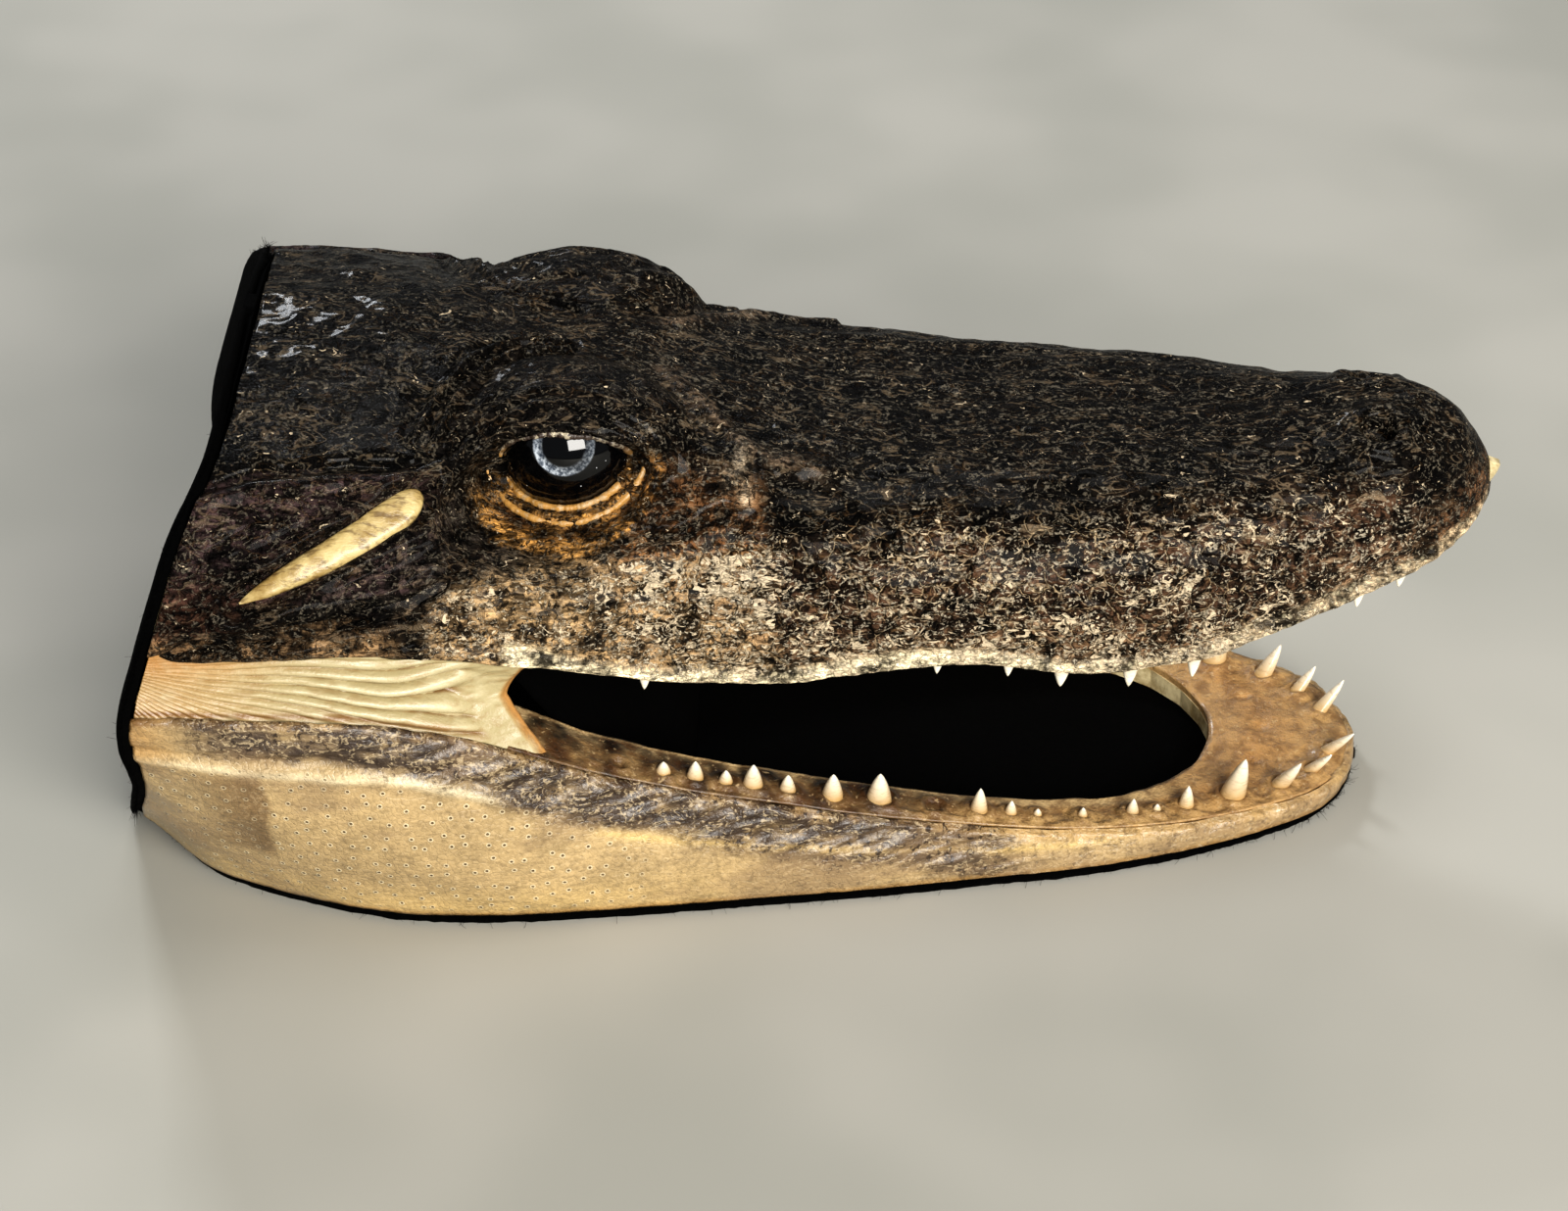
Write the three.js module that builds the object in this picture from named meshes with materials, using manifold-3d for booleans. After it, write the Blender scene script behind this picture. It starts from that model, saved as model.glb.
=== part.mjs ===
// A preserved alligator head, mouth open, standing on a felt pad.
// The dried hide covers the skull and the two mandibles. Glass eyes sit in modelling clay in the orbits, the neck is
// closed by a filler plug under a felt cover, and felt lines the floor and the back of the mouth.
//
// Millimetres. +X points to the snout tip, +Z up, and the head is the same on both sides of the plane Y = 0.
// The origin is under the middle of the head, on the surface that it stands on.
import * as THREE from "three";
import { mergeVertices } from "three/addons/utils/BufferGeometryUtils.js";
import Module from "manifold-3d";

const wasm = await Module();
wasm.setup();

// ---------- driving dimensions ----------
const headLength = 160; // snout tip to the foot of the neck cut
const headWidth = 76; // across the jaw joints
const headHeight = 63.6; // standing surface to the top of the head
const hideThickness = 1.2; // dried hide
const boneWall = 2.6; // skull walls round the brain and nasal cavity
const gumThickness = 0.8;
const liningThickness = 0.7; // palate lining
const feltThickness = 1.2;
const feltMargin = 0.5; // how far felt stands out past the hide that it is glued to
const fitGap = 0.3; // clearance between neighbouring pieces
const palateRise = 2.8; // palate lining above the lip line
const plugDepth = 11; // neck filler, measured along the neck
const neckLean = 15.4; // degrees that the neck cut leans back towards its foot
const neckTop = 142.4; // snout tip to the top of the neck cut
const cheekThickness = 1.2;
const cheekFront = 109; // snout tip to the free edge of the cheek skin
const cheekHollow = 9; // radius of that edge's hollow
const symphysisGap = 0.3; // seam between the two mandibles
const eyeRadius = 7.8;
const eyeBehindTip = 106.6;
const eyeSide = 12.8; // eye centre from the middle plane
const eyeHeight = 53.2;
const eyeOpening = { length: 15.4, height: 10.4 }; // slit between the lids
const clayThickness = 1.6; // eye clay round the back of the glass
const orbitWall = 1.8; // bone cup that holds the clay
const browLength = 28; // domed bulge of the brow over an eye
const throatFoot = 93.5; // snout tip to the foot of the throat felt
const throatTop = 118;
const nostril = { behindTip: 15, side: 6, radius: 2.1, depth: 5 };
const boneStrip = { behindTip: 129.2, height: 51.2, length: 23, width: 3.6, depth: 2.2, slope: 19, toe: 20 };

// ---------- outline stations ----------
// Written for a head of this size, and scaled with the driving dimensions.
const drawn = { length: 160, halfWidth: 38, height: 63.6 };

// behind the tip, half width, top height, lip height, squareness of the section
const headStations = [
  [0, 0, 41.5, 41, 2],
  [1.6, 4.8, 46.4, 39.8, 2],
  [5, 8.8, 50.4, 37.4, 2.1],
  [10, 12, 52, 35.4, 2.3],
  [17, 15.2, 51.6, 33.8, 2.5],
  [26, 18.6, 50.8, 31.9, 2.7],
  [36, 22.2, 51, 29.8, 2.8],
  [48, 24.5, 51.4, 29.9, 2.9],
  [62, 25.7, 51.6, 31.8, 3],
  [74, 26.8, 53, 31, 2.9],
  [85, 27.9, 55.2, 30.2, 2.5],
  [97, 30, 58.8, 32.2, 1.95],
  [108, 32.4, 61.4, 35.2, 1.75],
  [120, 34.8, 63, 38, 1.75],
  [132, 36.6, 63.6, 39.6, 1.8],
  [146, 37.6, 63.4, 40, 1.8],
  [166, 38, 63, 40, 1.8],
];

// behind the tip, half width at the foot, half width at the rim, rim height
const jawStations = [
  [12.4, 0, 0, 3.8],
  [13.4, 5, 4.8, 4],
  [15.4, 9.2, 9, 4.1],
  [18.6, 12.7, 12.4, 4.2],
  [24, 15.9, 15.6, 4.4],
  [35.5, 20.7, 20.3, 5.2],
  [47.5, 24, 23.5, 6.6],
  [59, 26, 25.5, 8.6],
  [70.5, 28, 27.5, 11.2],
  [82, 29.6, 29.1, 14.2],
  [93.5, 31.2, 30.7, 17.4],
  [103, 32.4, 32, 20.6],
  [110, 33.2, 33.4, 24],
  [118.5, 33.6, 35.6, 28.4],
  [128, 33, 37.2, 31],
  [140, 29.6, 38, 32],
  [150, 24.8, 38, 32.2],
  [157, 17.4, 37.4, 32.2],
  [166, 9, 36.6, 32.2],
];

// behind the tip, half width of the opening between the mandibles
const floorStations = [
  [30.2, 0],
  [31, 4.2],
  [33.6, 9],
  [38, 13.2],
  [45, 16.6],
  [59, 19.6],
  [82, 22.4],
  [106, 24.6],
  [130, 26.4],
  [166, 26.6],
];

// behind the tip, out from the middle plane, height over the rim, root radius. The same row on each side.
const lowerTeeth = [
  [16.2, 4.2, 3.6, 0.95],
  [18.6, 8.1, 2.6, 0.9],
  [22.6, 11.2, 3.4, 1.1],
  [28.6, 13.7, 5, 1.5],
  [34.4, 16.5, 2.6, 0.9],
  [41, 18.8, 1.8, 0.75],
  [59.4, 22.4, 2.9, 1],
  [71.2, 24, 3.4, 1.45],
  [76.6, 25, 2.7, 1.2],
  [81.8, 26, 2, 0.95],
  [85.8, 26.4, 2.6, 1.15],
  [92.4, 27.4, 2, 0.95],
];

// behind the tip, out from the middle plane, drop under the lip, root radius
const upperTeeth = [
  [11, 9.1, 1.3, 0.9],
  [16, 11.4, 1.5, 0.9],
  [35.2, 18.6, 2.3, 1.05],
  [42.6, 20.3, 2.2, 1.15],
  [50.5, 21.4, 2.1, 1.2],
  [56.6, 22.1, 1.3, 0.9],
  [64.7, 22.7, 1.2, 0.85],
  [97.7, 26.9, 1.3, 0.9],
];

const lengthScale = headLength / drawn.length;
const widthScale = headWidth / 2 / drawn.halfWidth;
const heightScale = headHeight / drawn.height;
const padTop = feltThickness + fitGap; // where everything that stands on the pad starts
const overrun = 10; // how far a cutter runs past what it cuts
const tipX = headLength / 2;
const innerSkin = hideThickness + fitGap; // from the outside of the hide to what lies under it
const sides = { left: 1, right: -1 };

// ---------- small tools ----------
const degrees = Math.PI / 180;
const bothSides = (make) => [make(sides.left), make(sides.right)];
const cutAll = (solid, cutters) => cutters.reduce((left, cutter) => left.subtract(cutter), solid);
const largest = (solid) => solid.decompose().reduce((a, b) => (a.volume() > b.volume() ? a : b));
const joinAll = (solid, others) => others.reduce((whole, other) => whole.add(other), solid);
const lerp = (a, b, t) => a + (b - a) * t;
const atTip = (behind) => tipX - behind * lengthScale;

/** A smooth curve through [position, value] pairs, held level past its ends. */
function smooth(pairs) {
  return (position) => {
    const last = pairs.length - 1;
    if (position <= pairs[0][0]) return pairs[0][1];
    if (position >= pairs[last][0]) return pairs[last][1];
    const i = pairs.findIndex((pair) => pair[0] > position) - 1;
    const slope = (k) => {
      const before = pairs[Math.max(k - 1, 0)];
      const after = pairs[Math.min(k + 1, last)];
      return (after[1] - before[1]) / (after[0] - before[0]);
    };
    const span = pairs[i + 1][0] - pairs[i][0];
    const t = (position - pairs[i][0]) / span;
    const hermite = [2 * t ** 3 - 3 * t ** 2 + 1, t ** 3 - 2 * t ** 2 + t, 3 * t ** 2 - 2 * t ** 3, t ** 3 - t ** 2];
    return (
      hermite[0] * pairs[i][1] +
      hermite[1] * span * slope(i) +
      hermite[2] * pairs[i + 1][1] +
      hermite[3] * span * slope(i + 1)
    );
  };
}

/** One column of a station table as a function of x. The square root of the distance gives a round nose. */
function column(stations, index, scale) {
  const start = stations[0][0];
  const curve = smooth(stations.map((row) => [Math.sqrt(row[0] - start), row[index] * scale]));
  return (x) => curve(Math.sqrt(Math.max((tipX - x) / lengthScale - start, 0)));
}

const head = {
  halfWidth: column(headStations, 1, widthScale),
  top: column(headStations, 2, heightScale),
  lip: column(headStations, 3, heightScale),
  squareness: column(headStations, 4, 1),
};
const jaw = {
  foot: column(jawStations, 1, widthScale),
  rim: column(jawStations, 2, widthScale),
  height: column(jawStations, 3, heightScale),
};
const floorHalfWidth = column(floorStations, 1, widthScale);
const chinX = atTip(jawStations[0][0]);
const floorFrontX = atTip(floorStations[0][0]);

/** A closed manifold solid from a three.js geometry. */
function solidOf(geometry) {
  const bare = new THREE.BufferGeometry().setAttribute("position", geometry.getAttribute("position"));
  if (geometry.index) bare.setIndex(geometry.index);
  const merged = mergeVertices(bare, 1e-4);
  const made = new wasm.Manifold(
    new wasm.Mesh({
      numProp: 3,
      vertProperties: new Float32Array(merged.attributes.position.array),
      triVerts: new Uint32Array(merged.index.array),
    }),
  );
  return made;
}

/** A loft through closed loops of [y, z] points, one loop for each x, with flat ends. */
function loft(stations) {
  const points = [];
  const faces = [];
  const count = stations[0].loop.length;
  for (const { x, loop } of stations) for (const [y, z] of loop) points.push(x, y, z);
  for (let s = 0; s < stations.length - 1; s++)
    for (let i = 0; i < count; i++) {
      const a = s * count + i;
      const b = s * count + ((i + 1) % count);
      faces.push(a, b, b + count, a, b + count, a + count);
    }
  for (const [index, turned] of [[0, true], [stations.length - 1, false]]) {
    const { x, loop } = stations[index];
    const middle = points.length / 3;
    const mean = (k) => loop.reduce((sum, point) => sum + point[k], 0) / count;
    points.push(x, mean(0), mean(1));
    for (let i = 0; i < count; i++) {
      const a = index * count + i;
      const b = index * count + ((i + 1) % count);
      faces.push(...(turned ? [middle, b, a] : [middle, a, b]));
    }
  }
  const geometry = new THREE.BufferGeometry();
  geometry.setAttribute("position", new THREE.Float32BufferAttribute(points, 3));
  geometry.setIndex(faces);
  return solidOf(geometry);
}

/** Station places from a back x to a front x, closer together towards the front. */
const placesTo = (back, front, count) =>
  Array.from({ length: count + 1 }, (_, i) => lerp(back, front, Math.sin((i / count) * Math.PI * 0.5)));

// ---------- the head's own solids ----------
const sectionSteps = 14;
const headSteps = 18;
const sheetBack = atTip(166); // where the lofts start, behind the neck's cut

/** The arch of the head's section at x, left to right, inside the hide by inset, from foot above the lip line. */
function arch(x, inset, foot = 0) {
  const power = 2 / head.squareness(x);
  const lip = head.lip(x);
  const width = Math.max(head.halfWidth(x + inset) - inset, 0.6);
  const rise = Math.max(head.top(x + inset) - inset - lip, foot + 0.6);
  const start = Math.asin((foot / rise) ** (1 / power));
  return Array.from({ length: sectionSteps + 1 }, (_, i) => {
    const angle = lerp(start, Math.PI - start, i / sectionSteps);
    const across = Math.cos(angle);
    return [width * Math.sign(across) * Math.abs(across) ** power, lip + rise * Math.sin(angle) ** power];
  });
}

/** The head inside the hide by inset, from foot above the lip line, or from below it where foot is negative. */
function headSolid(inset, foot) {
  const front = tipX - (inset ? inset + 1.2 : 0.05);
  const body = loft(
    placesTo(sheetBack, front, headSteps).map((x) => {
      const over = arch(x, inset, Math.max(foot, 0));
      const level = (y) => [y, head.lip(x) + Math.min(foot, 0)];
      return { x, loop: foot < 0 ? [level(over[0][0]), ...over, level(over.at(-1)[0])] : over };
    }),
  );
  return joinAll(body, bothSides((side) => browDome(side, inset)));
}

/** The bulge of the brow over the eye, inside the hide by inset. */
function browDome(side, inset) {
  const reach = eyeRadius + innerSkin - inset;
  return ball(1, 9).scale([browLength / 2 - inset, reach, reach]).translate(eyeCentre(side));
}

/** The side of the lower jaw at x: y at share 0 to 1 of the rim height. */
const jawSide = (x, share) =>
  lerp(jaw.foot(x), jaw.rim(x), share) + 0.085 * jaw.height(x) * Math.sin(Math.PI * share);

const jawSteps = 4;

/** The left edge of the lower jaw's section at x, bottom to top, inside its hide by inset. */
function jawEdge(x, inset, top) {
  return Array.from({ length: jawSteps + 1 }, (_, i) => {
    const z = lerp(padTop, top, i / jawSteps);
    return [Math.max(jawSide(x + inset, z / jaw.height(x)) - inset, 0.5), z];
  });
}

/** The lower jaw inside its hide by inset, up to the rim raised by rise, or past the rim and the pad as a cutter. */
function jawSolid(inset, rise, cutter = false) {
  const front = chinX - inset - 0.15;
  return loft(
    placesTo(sheetBack, front, headSteps).map((x) => {
      const edge = jawEdge(x, inset, jaw.height(x) + rise);
      if (cutter) edge.unshift([edge[0][0], -overrun]);
      if (cutter) edge.push([edge.at(-1)[0], jaw.height(x) + overrun]);
      return { x, loop: [...edge, ...edge.toReversed().map(([y, z]) => [-y, z])] };
    }),
  );
}

/** The opening between the mandibles as an upright prism. */
function floorPrism(grow = 0, bottom = -overrun, top = headHeight) {
  const shape = new THREE.Shape();
  const places = placesTo(sheetBack - overrun, floorFrontX - 0.05 + grow, 16);
  const edge = places.map((x) => new THREE.Vector2(x, floorHalfWidth(x - grow) + grow));
  shape.setFromPoints([...edge, ...edge.toReversed().map((p) => new THREE.Vector2(p.x, -p.y))]);
  const prism = new THREE.ExtrudeGeometry(shape, { depth: top - bottom, bevelEnabled: false });
  return solidOf(prism.translate(0, 0, bottom));
}

/** A slab square to the neck's cut, between two depths in front of it. */
function neckSlab(from, to) {
  const reach = 3 * headHeight;
  const slab = new THREE.BoxGeometry(to - from, 2 * headWidth, reach);
  slab.translate((from + to) / 2, 0, 0);
  slab.rotateY(neckLean * degrees);
  return solidOf(slab.translate(atTip(neckTop), 0, head.top(atTip(neckTop))));
}
const behindNeck = (depth) => neckSlab(-2 * headLength, depth);

/** The whole neck, head above and jaw below, inside the hide by inset. */
function neckSolid(inset) {
  return loft(
    placesTo(sheetBack, atTip(118), 8).map((x) => {
      const edge = jawEdge(x, 0, jaw.height(x)).map(([y, z]) => [y - inset, z]);
      const right = edge.toReversed().map(([y, z]) => [-y, z]);
      return { x, loop: [...arch(x, inset), ...right, ...edge] };
    }),
  );
}

const box = (x, y, z, cx, cy, cz) => solidOf(new THREE.BoxGeometry(x, y, z).translate(cx, cy, cz));
const halfSpace = (side) =>
  box(2 * headLength, headWidth, 3 * headHeight, 0, side * (headWidth / 2 + symphysisGap / 2), headHeight / 2);

// ---------- teeth ----------
const toothSides = 7;

/** A tooth standing on z = 0: a slightly swollen crown over a root, grown by a clearance for its socket. */
function toothSolid(crown, root, radius, side, grow) {
  const profile = [
    [0, -root - grow],
    [radius * 0.8 + grow, -root - grow],
    [radius + grow, 0],
    [radius * 0.82 + grow, crown * 0.4],
    [radius * 0.42 + grow, crown * 0.8],
    [0, crown + 2 * grow],
  ].map(([r, z]) => new THREE.Vector2(r, z));
  const lathe = new THREE.LatheGeometry(profile, toothSides).rotateX(Math.PI / 2);
  const position = lathe.getAttribute("position");
  for (let i = 0; i < position.count; i++) {
    const up = Math.max(position.getZ(i), 0);
    position.setX(i, position.getX(i) - 0.06 * up * up); // the crown curves backwards
    position.setY(i, position.getY(i) - side * 0.02 * up * up);
  }
  return solidOf(lathe);
}

/** A tooth of one row as a solid in its place, on the given side. */
function placedTooth(row, [behind, out, crown, radius], side, grow) {
  const x = atTip(behind);
  const place = (z) => [x, side * out * widthScale, z];
  if (row === "upper") {
    const height = crown + palateRise;
    const hanging = toothSolid(height, height / 2, radius, -side, grow).rotate([180, 0, 0]);
    return hanging.translate(place(head.lip(x) + palateRise));
  }
  const root = Math.min(crown * 0.45 + 1, 0.6 * (jaw.height(x) - padTop));
  return toothSolid(crown, root, radius, side, grow).translate(place(jaw.height(x)));
}

const toothRows = Object.entries({ lower: lowerTeeth, upper: upperTeeth }).flatMap(([row, teeth]) =>
  Object.entries(sides).flatMap(([sideName, side]) =>
    teeth.map((tooth, i) => ({ name: `${sideName}_${row}_tooth_${i + 1}`, row, tooth, side })),
  ),
);
const sockets = (row) =>
  toothRows.filter((t) => t.row === row).map((t) => placedTooth(row, t.tooth, t.side, fitGap));

// ---------- eyes and the bare bone strips behind them ----------
const eyeCentre = (side) => [atTip(eyeBehindTip), side * eyeSide * widthScale, eyeHeight * heightScale];
const ball = (radius, rings = 11) => solidOf(new THREE.SphereGeometry(radius, 2 * rings, rings));
const eyeBall = (side, grow, rings) => ball(eyeRadius + grow, rings).translate(eyeCentre(side));

/** The slit between the lids, as an oval bar pointing out of the orbit. */
function lidOpening(side) {
  const bar = solidOf(new THREE.CylinderGeometry(1, 1, 2 * eyeRadius, 16));
  return bar
    .scale([eyeOpening.length / 2, 1, eyeOpening.height / 2])
    .translate([0, side * (eyeRadius + 1), 0])
    .rotate([side * 12, 0, 0])
    .translate(eyeCentre(side));
}

/** The strip of bare bone that shows through the hide behind the eye. */
function stripSolid(side, grow) {
  const x = atTip(boneStrip.behindTip);
  const rise = (boneStrip.height * heightScale - head.lip(x)) / (head.top(x) - head.lip(x));
  const y = head.halfWidth(x) * (1 - rise ** head.squareness(x)) ** (1 / head.squareness(x));
  const size = [boneStrip.length / 2 + grow, boneStrip.depth / 2 + grow, boneStrip.width / 2 + grow];
  return ball(1, 8)
    .scale(size)
    .rotate([side * 38, -boneStrip.slope, -side * boneStrip.toe])
    .translate([x, side * y, boneStrip.height * heightScale]);
}

/** A nostril pit on the snout's top. */
function nostrilPit(side) {
  const x = atTip(nostril.behindTip);
  const pit = solidOf(new THREE.CylinderGeometry(nostril.radius, nostril.radius * 0.7, nostril.depth, 12));
  return pit.rotate([90, 0, 0]).translate([x, side * nostril.side * widthScale, head.top(x)]);
}

// ---------- pieces ----------
/** The hide of the upper head: a shell open below and at the neck. */
function headHide() {
  const shell = headSolid(0, 0).subtract(headSolid(hideThickness, -overrun));
  const cutters = [
    behindNeck(0),
    ...bothSides((side) => eyeBall(side, fitGap)),
    ...bothSides(lidOpening),
    ...bothSides((side) => stripSolid(side, fitGap)),
    ...bothSides(nostrilPit),
    ...sockets("upper"),
  ];
  return cutAll(shell, cutters);
}

/** The skull: bone walls round one cavity that opens at the neck, with an orbit on each side. */
function skull() {
  const foot = palateRise + liningThickness + fitGap;
  const socket = clayThickness + 2 * fitGap;
  const cups = bothSides((side) => eyeBall(side, socket + orbitWall, 8));
  const cavity = cutAll(headSolid(innerSkin + boneWall, foot + boneWall), cups);
  const cutters = [
    behindNeck(plugDepth + 2 * fitGap),
    ...bothSides((side) => eyeBall(side, socket, 8)),
    ...bothSides(lidOpening),
    ...bothSides((side) => stripSolid(side, fitGap)),
    ...bothSides(nostrilPit),
    ...sockets("upper"),
  ];
  return largest(cutAll(headSolid(innerSkin, foot).subtract(cavity), cutters));
}

/** The lining of the palate, a thin sheet under the skull. */
function palateLining() {
  const above = headSolid(innerSkin - 1, palateRise + liningThickness);
  return cutAll(headSolid(innerSkin, palateRise).subtract(above), [behindNeck(plugDepth + 2 * fitGap), ...sockets("upper")]);
}

/** The hide of the lower jaw: a strip round the chin, open above and below. */
function jawHide() {
  return jawSolid(0, 0).subtract(jawSolid(hideThickness, 0, true)).subtract(behindNeck(0));
}

/** One mandible, from the neck filler to the seam at the chin. */
function mandible(side) {
  const drop = -(gumThickness + fitGap);
  const both = jawSolid(innerSkin, drop).subtract(floorPrism()).intersect(halfSpace(side));
  return cutAll(both, [behindNeck(plugDepth + 2 * fitGap), ...sockets("lower")]);
}

/** The gum that covers both mandibles in front of the cheeks. */
function lowerGum() {
  const layer = jawSolid(innerSkin, 0).subtract(jawSolid(innerSkin - 1, -gumThickness)).subtract(floorPrism());
  const behindCheek = box(headLength, 2 * headWidth, 3 * headHeight, atTip(cheekFront) - headLength / 2, 0, 0);
  return cutAll(layer, [behindCheek, ...sockets("lower")]);
}

/** The skin between the jaws at the corner of the mouth. */
function cheek(side) {
  const places = Array.from({ length: 9 }, (_, i) => lerp(sheetBack, atTip(cheekFront), i / 8));
  const sheet = loft(
    places.map((x) => {
      const low = jaw.height(x) + fitGap;
      const high = head.lip(x) - fitGap;
      const inside = (y) => side * (y - cheekThickness);
      const [below, above] = [jaw.rim(x), head.halfWidth(x)];
      const middle = (below + above) / 2 - 1;
      const loop = [
        [side * below, low],
        [side * middle, (low + high) / 2],
        [side * above, high],
        [inside(above), high],
        [inside(middle), (low + high) / 2],
        [inside(below), low],
      ];
      return { x, loop: side > 0 ? loop : loop.toReversed() };
    }),
  );
  const edge = atTip(cheekFront);
  const middleHeight = (jaw.height(edge) + head.lip(edge)) / 2;
  const hollow = solidOf(new THREE.CylinderGeometry(cheekHollow, cheekHollow, 2 * headWidth, 24));
  return cutAll(sheet, [behindNeck(0), hollow.translate([edge + cheekHollow - 4.5, 0, middleHeight])]);
}

/** Filler that closes the neck behind the skull and the mandibles. */
function neckPlug() {
  const inside = neckSolid(Math.max(innerSkin, cheekThickness + 1 + fitGap));
  return inside.intersect(neckSlab(fitGap, plugDepth));
}

/** Felt glued over the neck's cut. */
function neckFelt() {
  return neckSolid(-feltMargin).intersect(neckSlab(-feltThickness - fitGap, -fitGap));
}

/** Felt pad under the jaw, which is also the floor of the mouth. */
function baseFelt() {
  const shape = new THREE.Shape();
  const back = atTip(162);
  const edge = placesTo(back, chinX - 0.2, 24).map((x) => new THREE.Vector2(x, jaw.foot(x) + feltMargin));
  shape.setFromPoints([...edge, ...edge.toReversed().map((p) => new THREE.Vector2(p.x, -p.y))]);
  return solidOf(new THREE.ExtrudeGeometry(shape, { depth: feltThickness, bevelEnabled: false }));
}

/** Felt that closes the back of the mouth, sloping up from the pad to the palate. */
function throatFelt() {
  const foot = new THREE.Vector2(atTip(throatFoot), padTop);
  const top = new THREE.Vector2(atTip(throatTop), head.lip(atTip(throatTop)) + palateRise - 2 * fitGap);
  const along = top.clone().sub(foot);
  const across = new THREE.Vector2(along.y, -along.x).setLength(feltThickness);
  const places = [0, 0.25, 0.5, 0.75, 1];
  const halfWidthAt = (share) => {
    const x = lerp(foot.x, top.x, share);
    const z = lerp(foot.y, top.y, share);
    const overJaw = z > jaw.height(x) - overrun / 3;
    return overJaw ? Math.min(jaw.rim(x), head.halfWidth(x)) - innerSkin - 3 : floorHalfWidth(x) - fitGap;
  };
  const points = [];
  const faces = [];
  for (const share of places)
    for (const [side, back] of [[1, 0], [-1, 0], [-1, 1], [1, 1]]) {
      const level = Math.min(halfWidthAt(share), floorHalfWidth(lerp(foot.x, top.x, share)) - fitGap);
      const x = lerp(foot.x, top.x, share) - back * across.x;
      const z = lerp(foot.y, top.y, share) - back * across.y;
      points.push(x, side * level, Math.max(z, padTop));
    }
  for (let s = 0; s < places.length - 1; s++)
    for (let i = 0; i < 4; i++) {
      const [a, b] = [4 * s + i, 4 * s + ((i + 1) % 4)];
      faces.push(a, b + 4, b, a, a + 4, b + 4);
    }
  const end = 4 * (places.length - 1);
  faces.push(0, 1, 2, 0, 2, 3, end, end + 2, end + 1, end, end + 3, end + 2);
  const geometry = new THREE.BufferGeometry();
  geometry.setAttribute("position", new THREE.Float32BufferAttribute(points, 3));
  geometry.setIndex(faces);
  return solidOf(geometry);
}

/** Clay that beds the glass eye in its orbit. */
function eyeClay(side) {
  const [x, y, z] = eyeCentre(side);
  const bed = eyeBall(side, clayThickness + fitGap, 8).subtract(eyeBall(side, fitGap));
  const outer = box(4 * eyeRadius, 2 * eyeRadius, 4 * eyeRadius, x, y + side * (eyeRadius + 0.5), z);
  return bed.subtract(outer).intersect(headSolid(innerSkin, 0));
}

// ---------- materials ----------
const finish = (color, roughness, metalness = 0) => new THREE.MeshStandardMaterial({ color, roughness, metalness });
const materials = {
  darkHide: finish(0x2c2622, 0.4),
  paleHide: finish(0xc9b183, 0.5),
  cheekSkin: finish(0xd9c79a, 0.55),
  gum: finish(0x8a6a44, 0.55),
  bone: finish(0xd6c49a, 0.6),
  tooth: finish(0xeee6cc, 0.3),
  glass: finish(0x0a0b0d, 0.05),
  clay: finish(0x3a332c, 0.85),
  felt: finish(0x0c0c0d, 0.95),
  filler: finish(0xb9b2a4, 0.9),
};

const group = new THREE.Group();
group.name = "preserved_alligator_head";

/** Adds a solid to the group as a named mesh. */
function add(name, solid, material) {
  const { vertProperties, triVerts } = solid.getMesh();
  const geometry = new THREE.BufferGeometry();
  geometry.setAttribute("position", new THREE.BufferAttribute(new Float32Array(vertProperties), 3));
  geometry.setIndex(new THREE.BufferAttribute(new Uint32Array(triVerts), 1));
  geometry.computeVertexNormals();
  const mesh = new THREE.Mesh(geometry, material);
  mesh.name = name;
  group.add(mesh);
}

add("head_hide", headHide(), materials.darkHide);
add("skull", skull(), materials.bone);
add("palate_lining", palateLining(), materials.cheekSkin);
add("jaw_hide", jawHide(), materials.paleHide);
add("lower_gum", lowerGum(), materials.gum);
add("neck_plug", neckPlug(), materials.filler);
add("neck_felt", neckFelt(), materials.felt);
add("base_felt", baseFelt(), materials.felt);
add("throat_felt", throatFelt(), materials.felt);
for (const [sideName, side] of Object.entries(sides)) {
  add(`${sideName}_mandible`, mandible(side), materials.bone);
  add(`${sideName}_cheek_skin`, cheek(side), materials.cheekSkin);
  add(`${sideName}_glass_eye`, eyeBall(side, 0), materials.glass);
  add(`${sideName}_eye_clay`, eyeClay(side), materials.clay);
  add(`${sideName}_bone_strip`, stripSolid(side, 0), materials.bone);
}
for (const { name, row, tooth, side } of toothRows) add(name, placedTooth(row, tooth, side, 0), materials.tooth);

// The origin goes under the middle of the finished head.
const middle = new THREE.Box3().setFromObject(group).getCenter(new THREE.Vector3());
for (const mesh of group.children) mesh.geometry.translate(-middle.x, 0, 0);

export default group;
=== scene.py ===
"""A preserved alligator head, mouth open, glass-eyed and felt-backed.

Lengths are in millimetres until a mesh is made.
"""

import math

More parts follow.
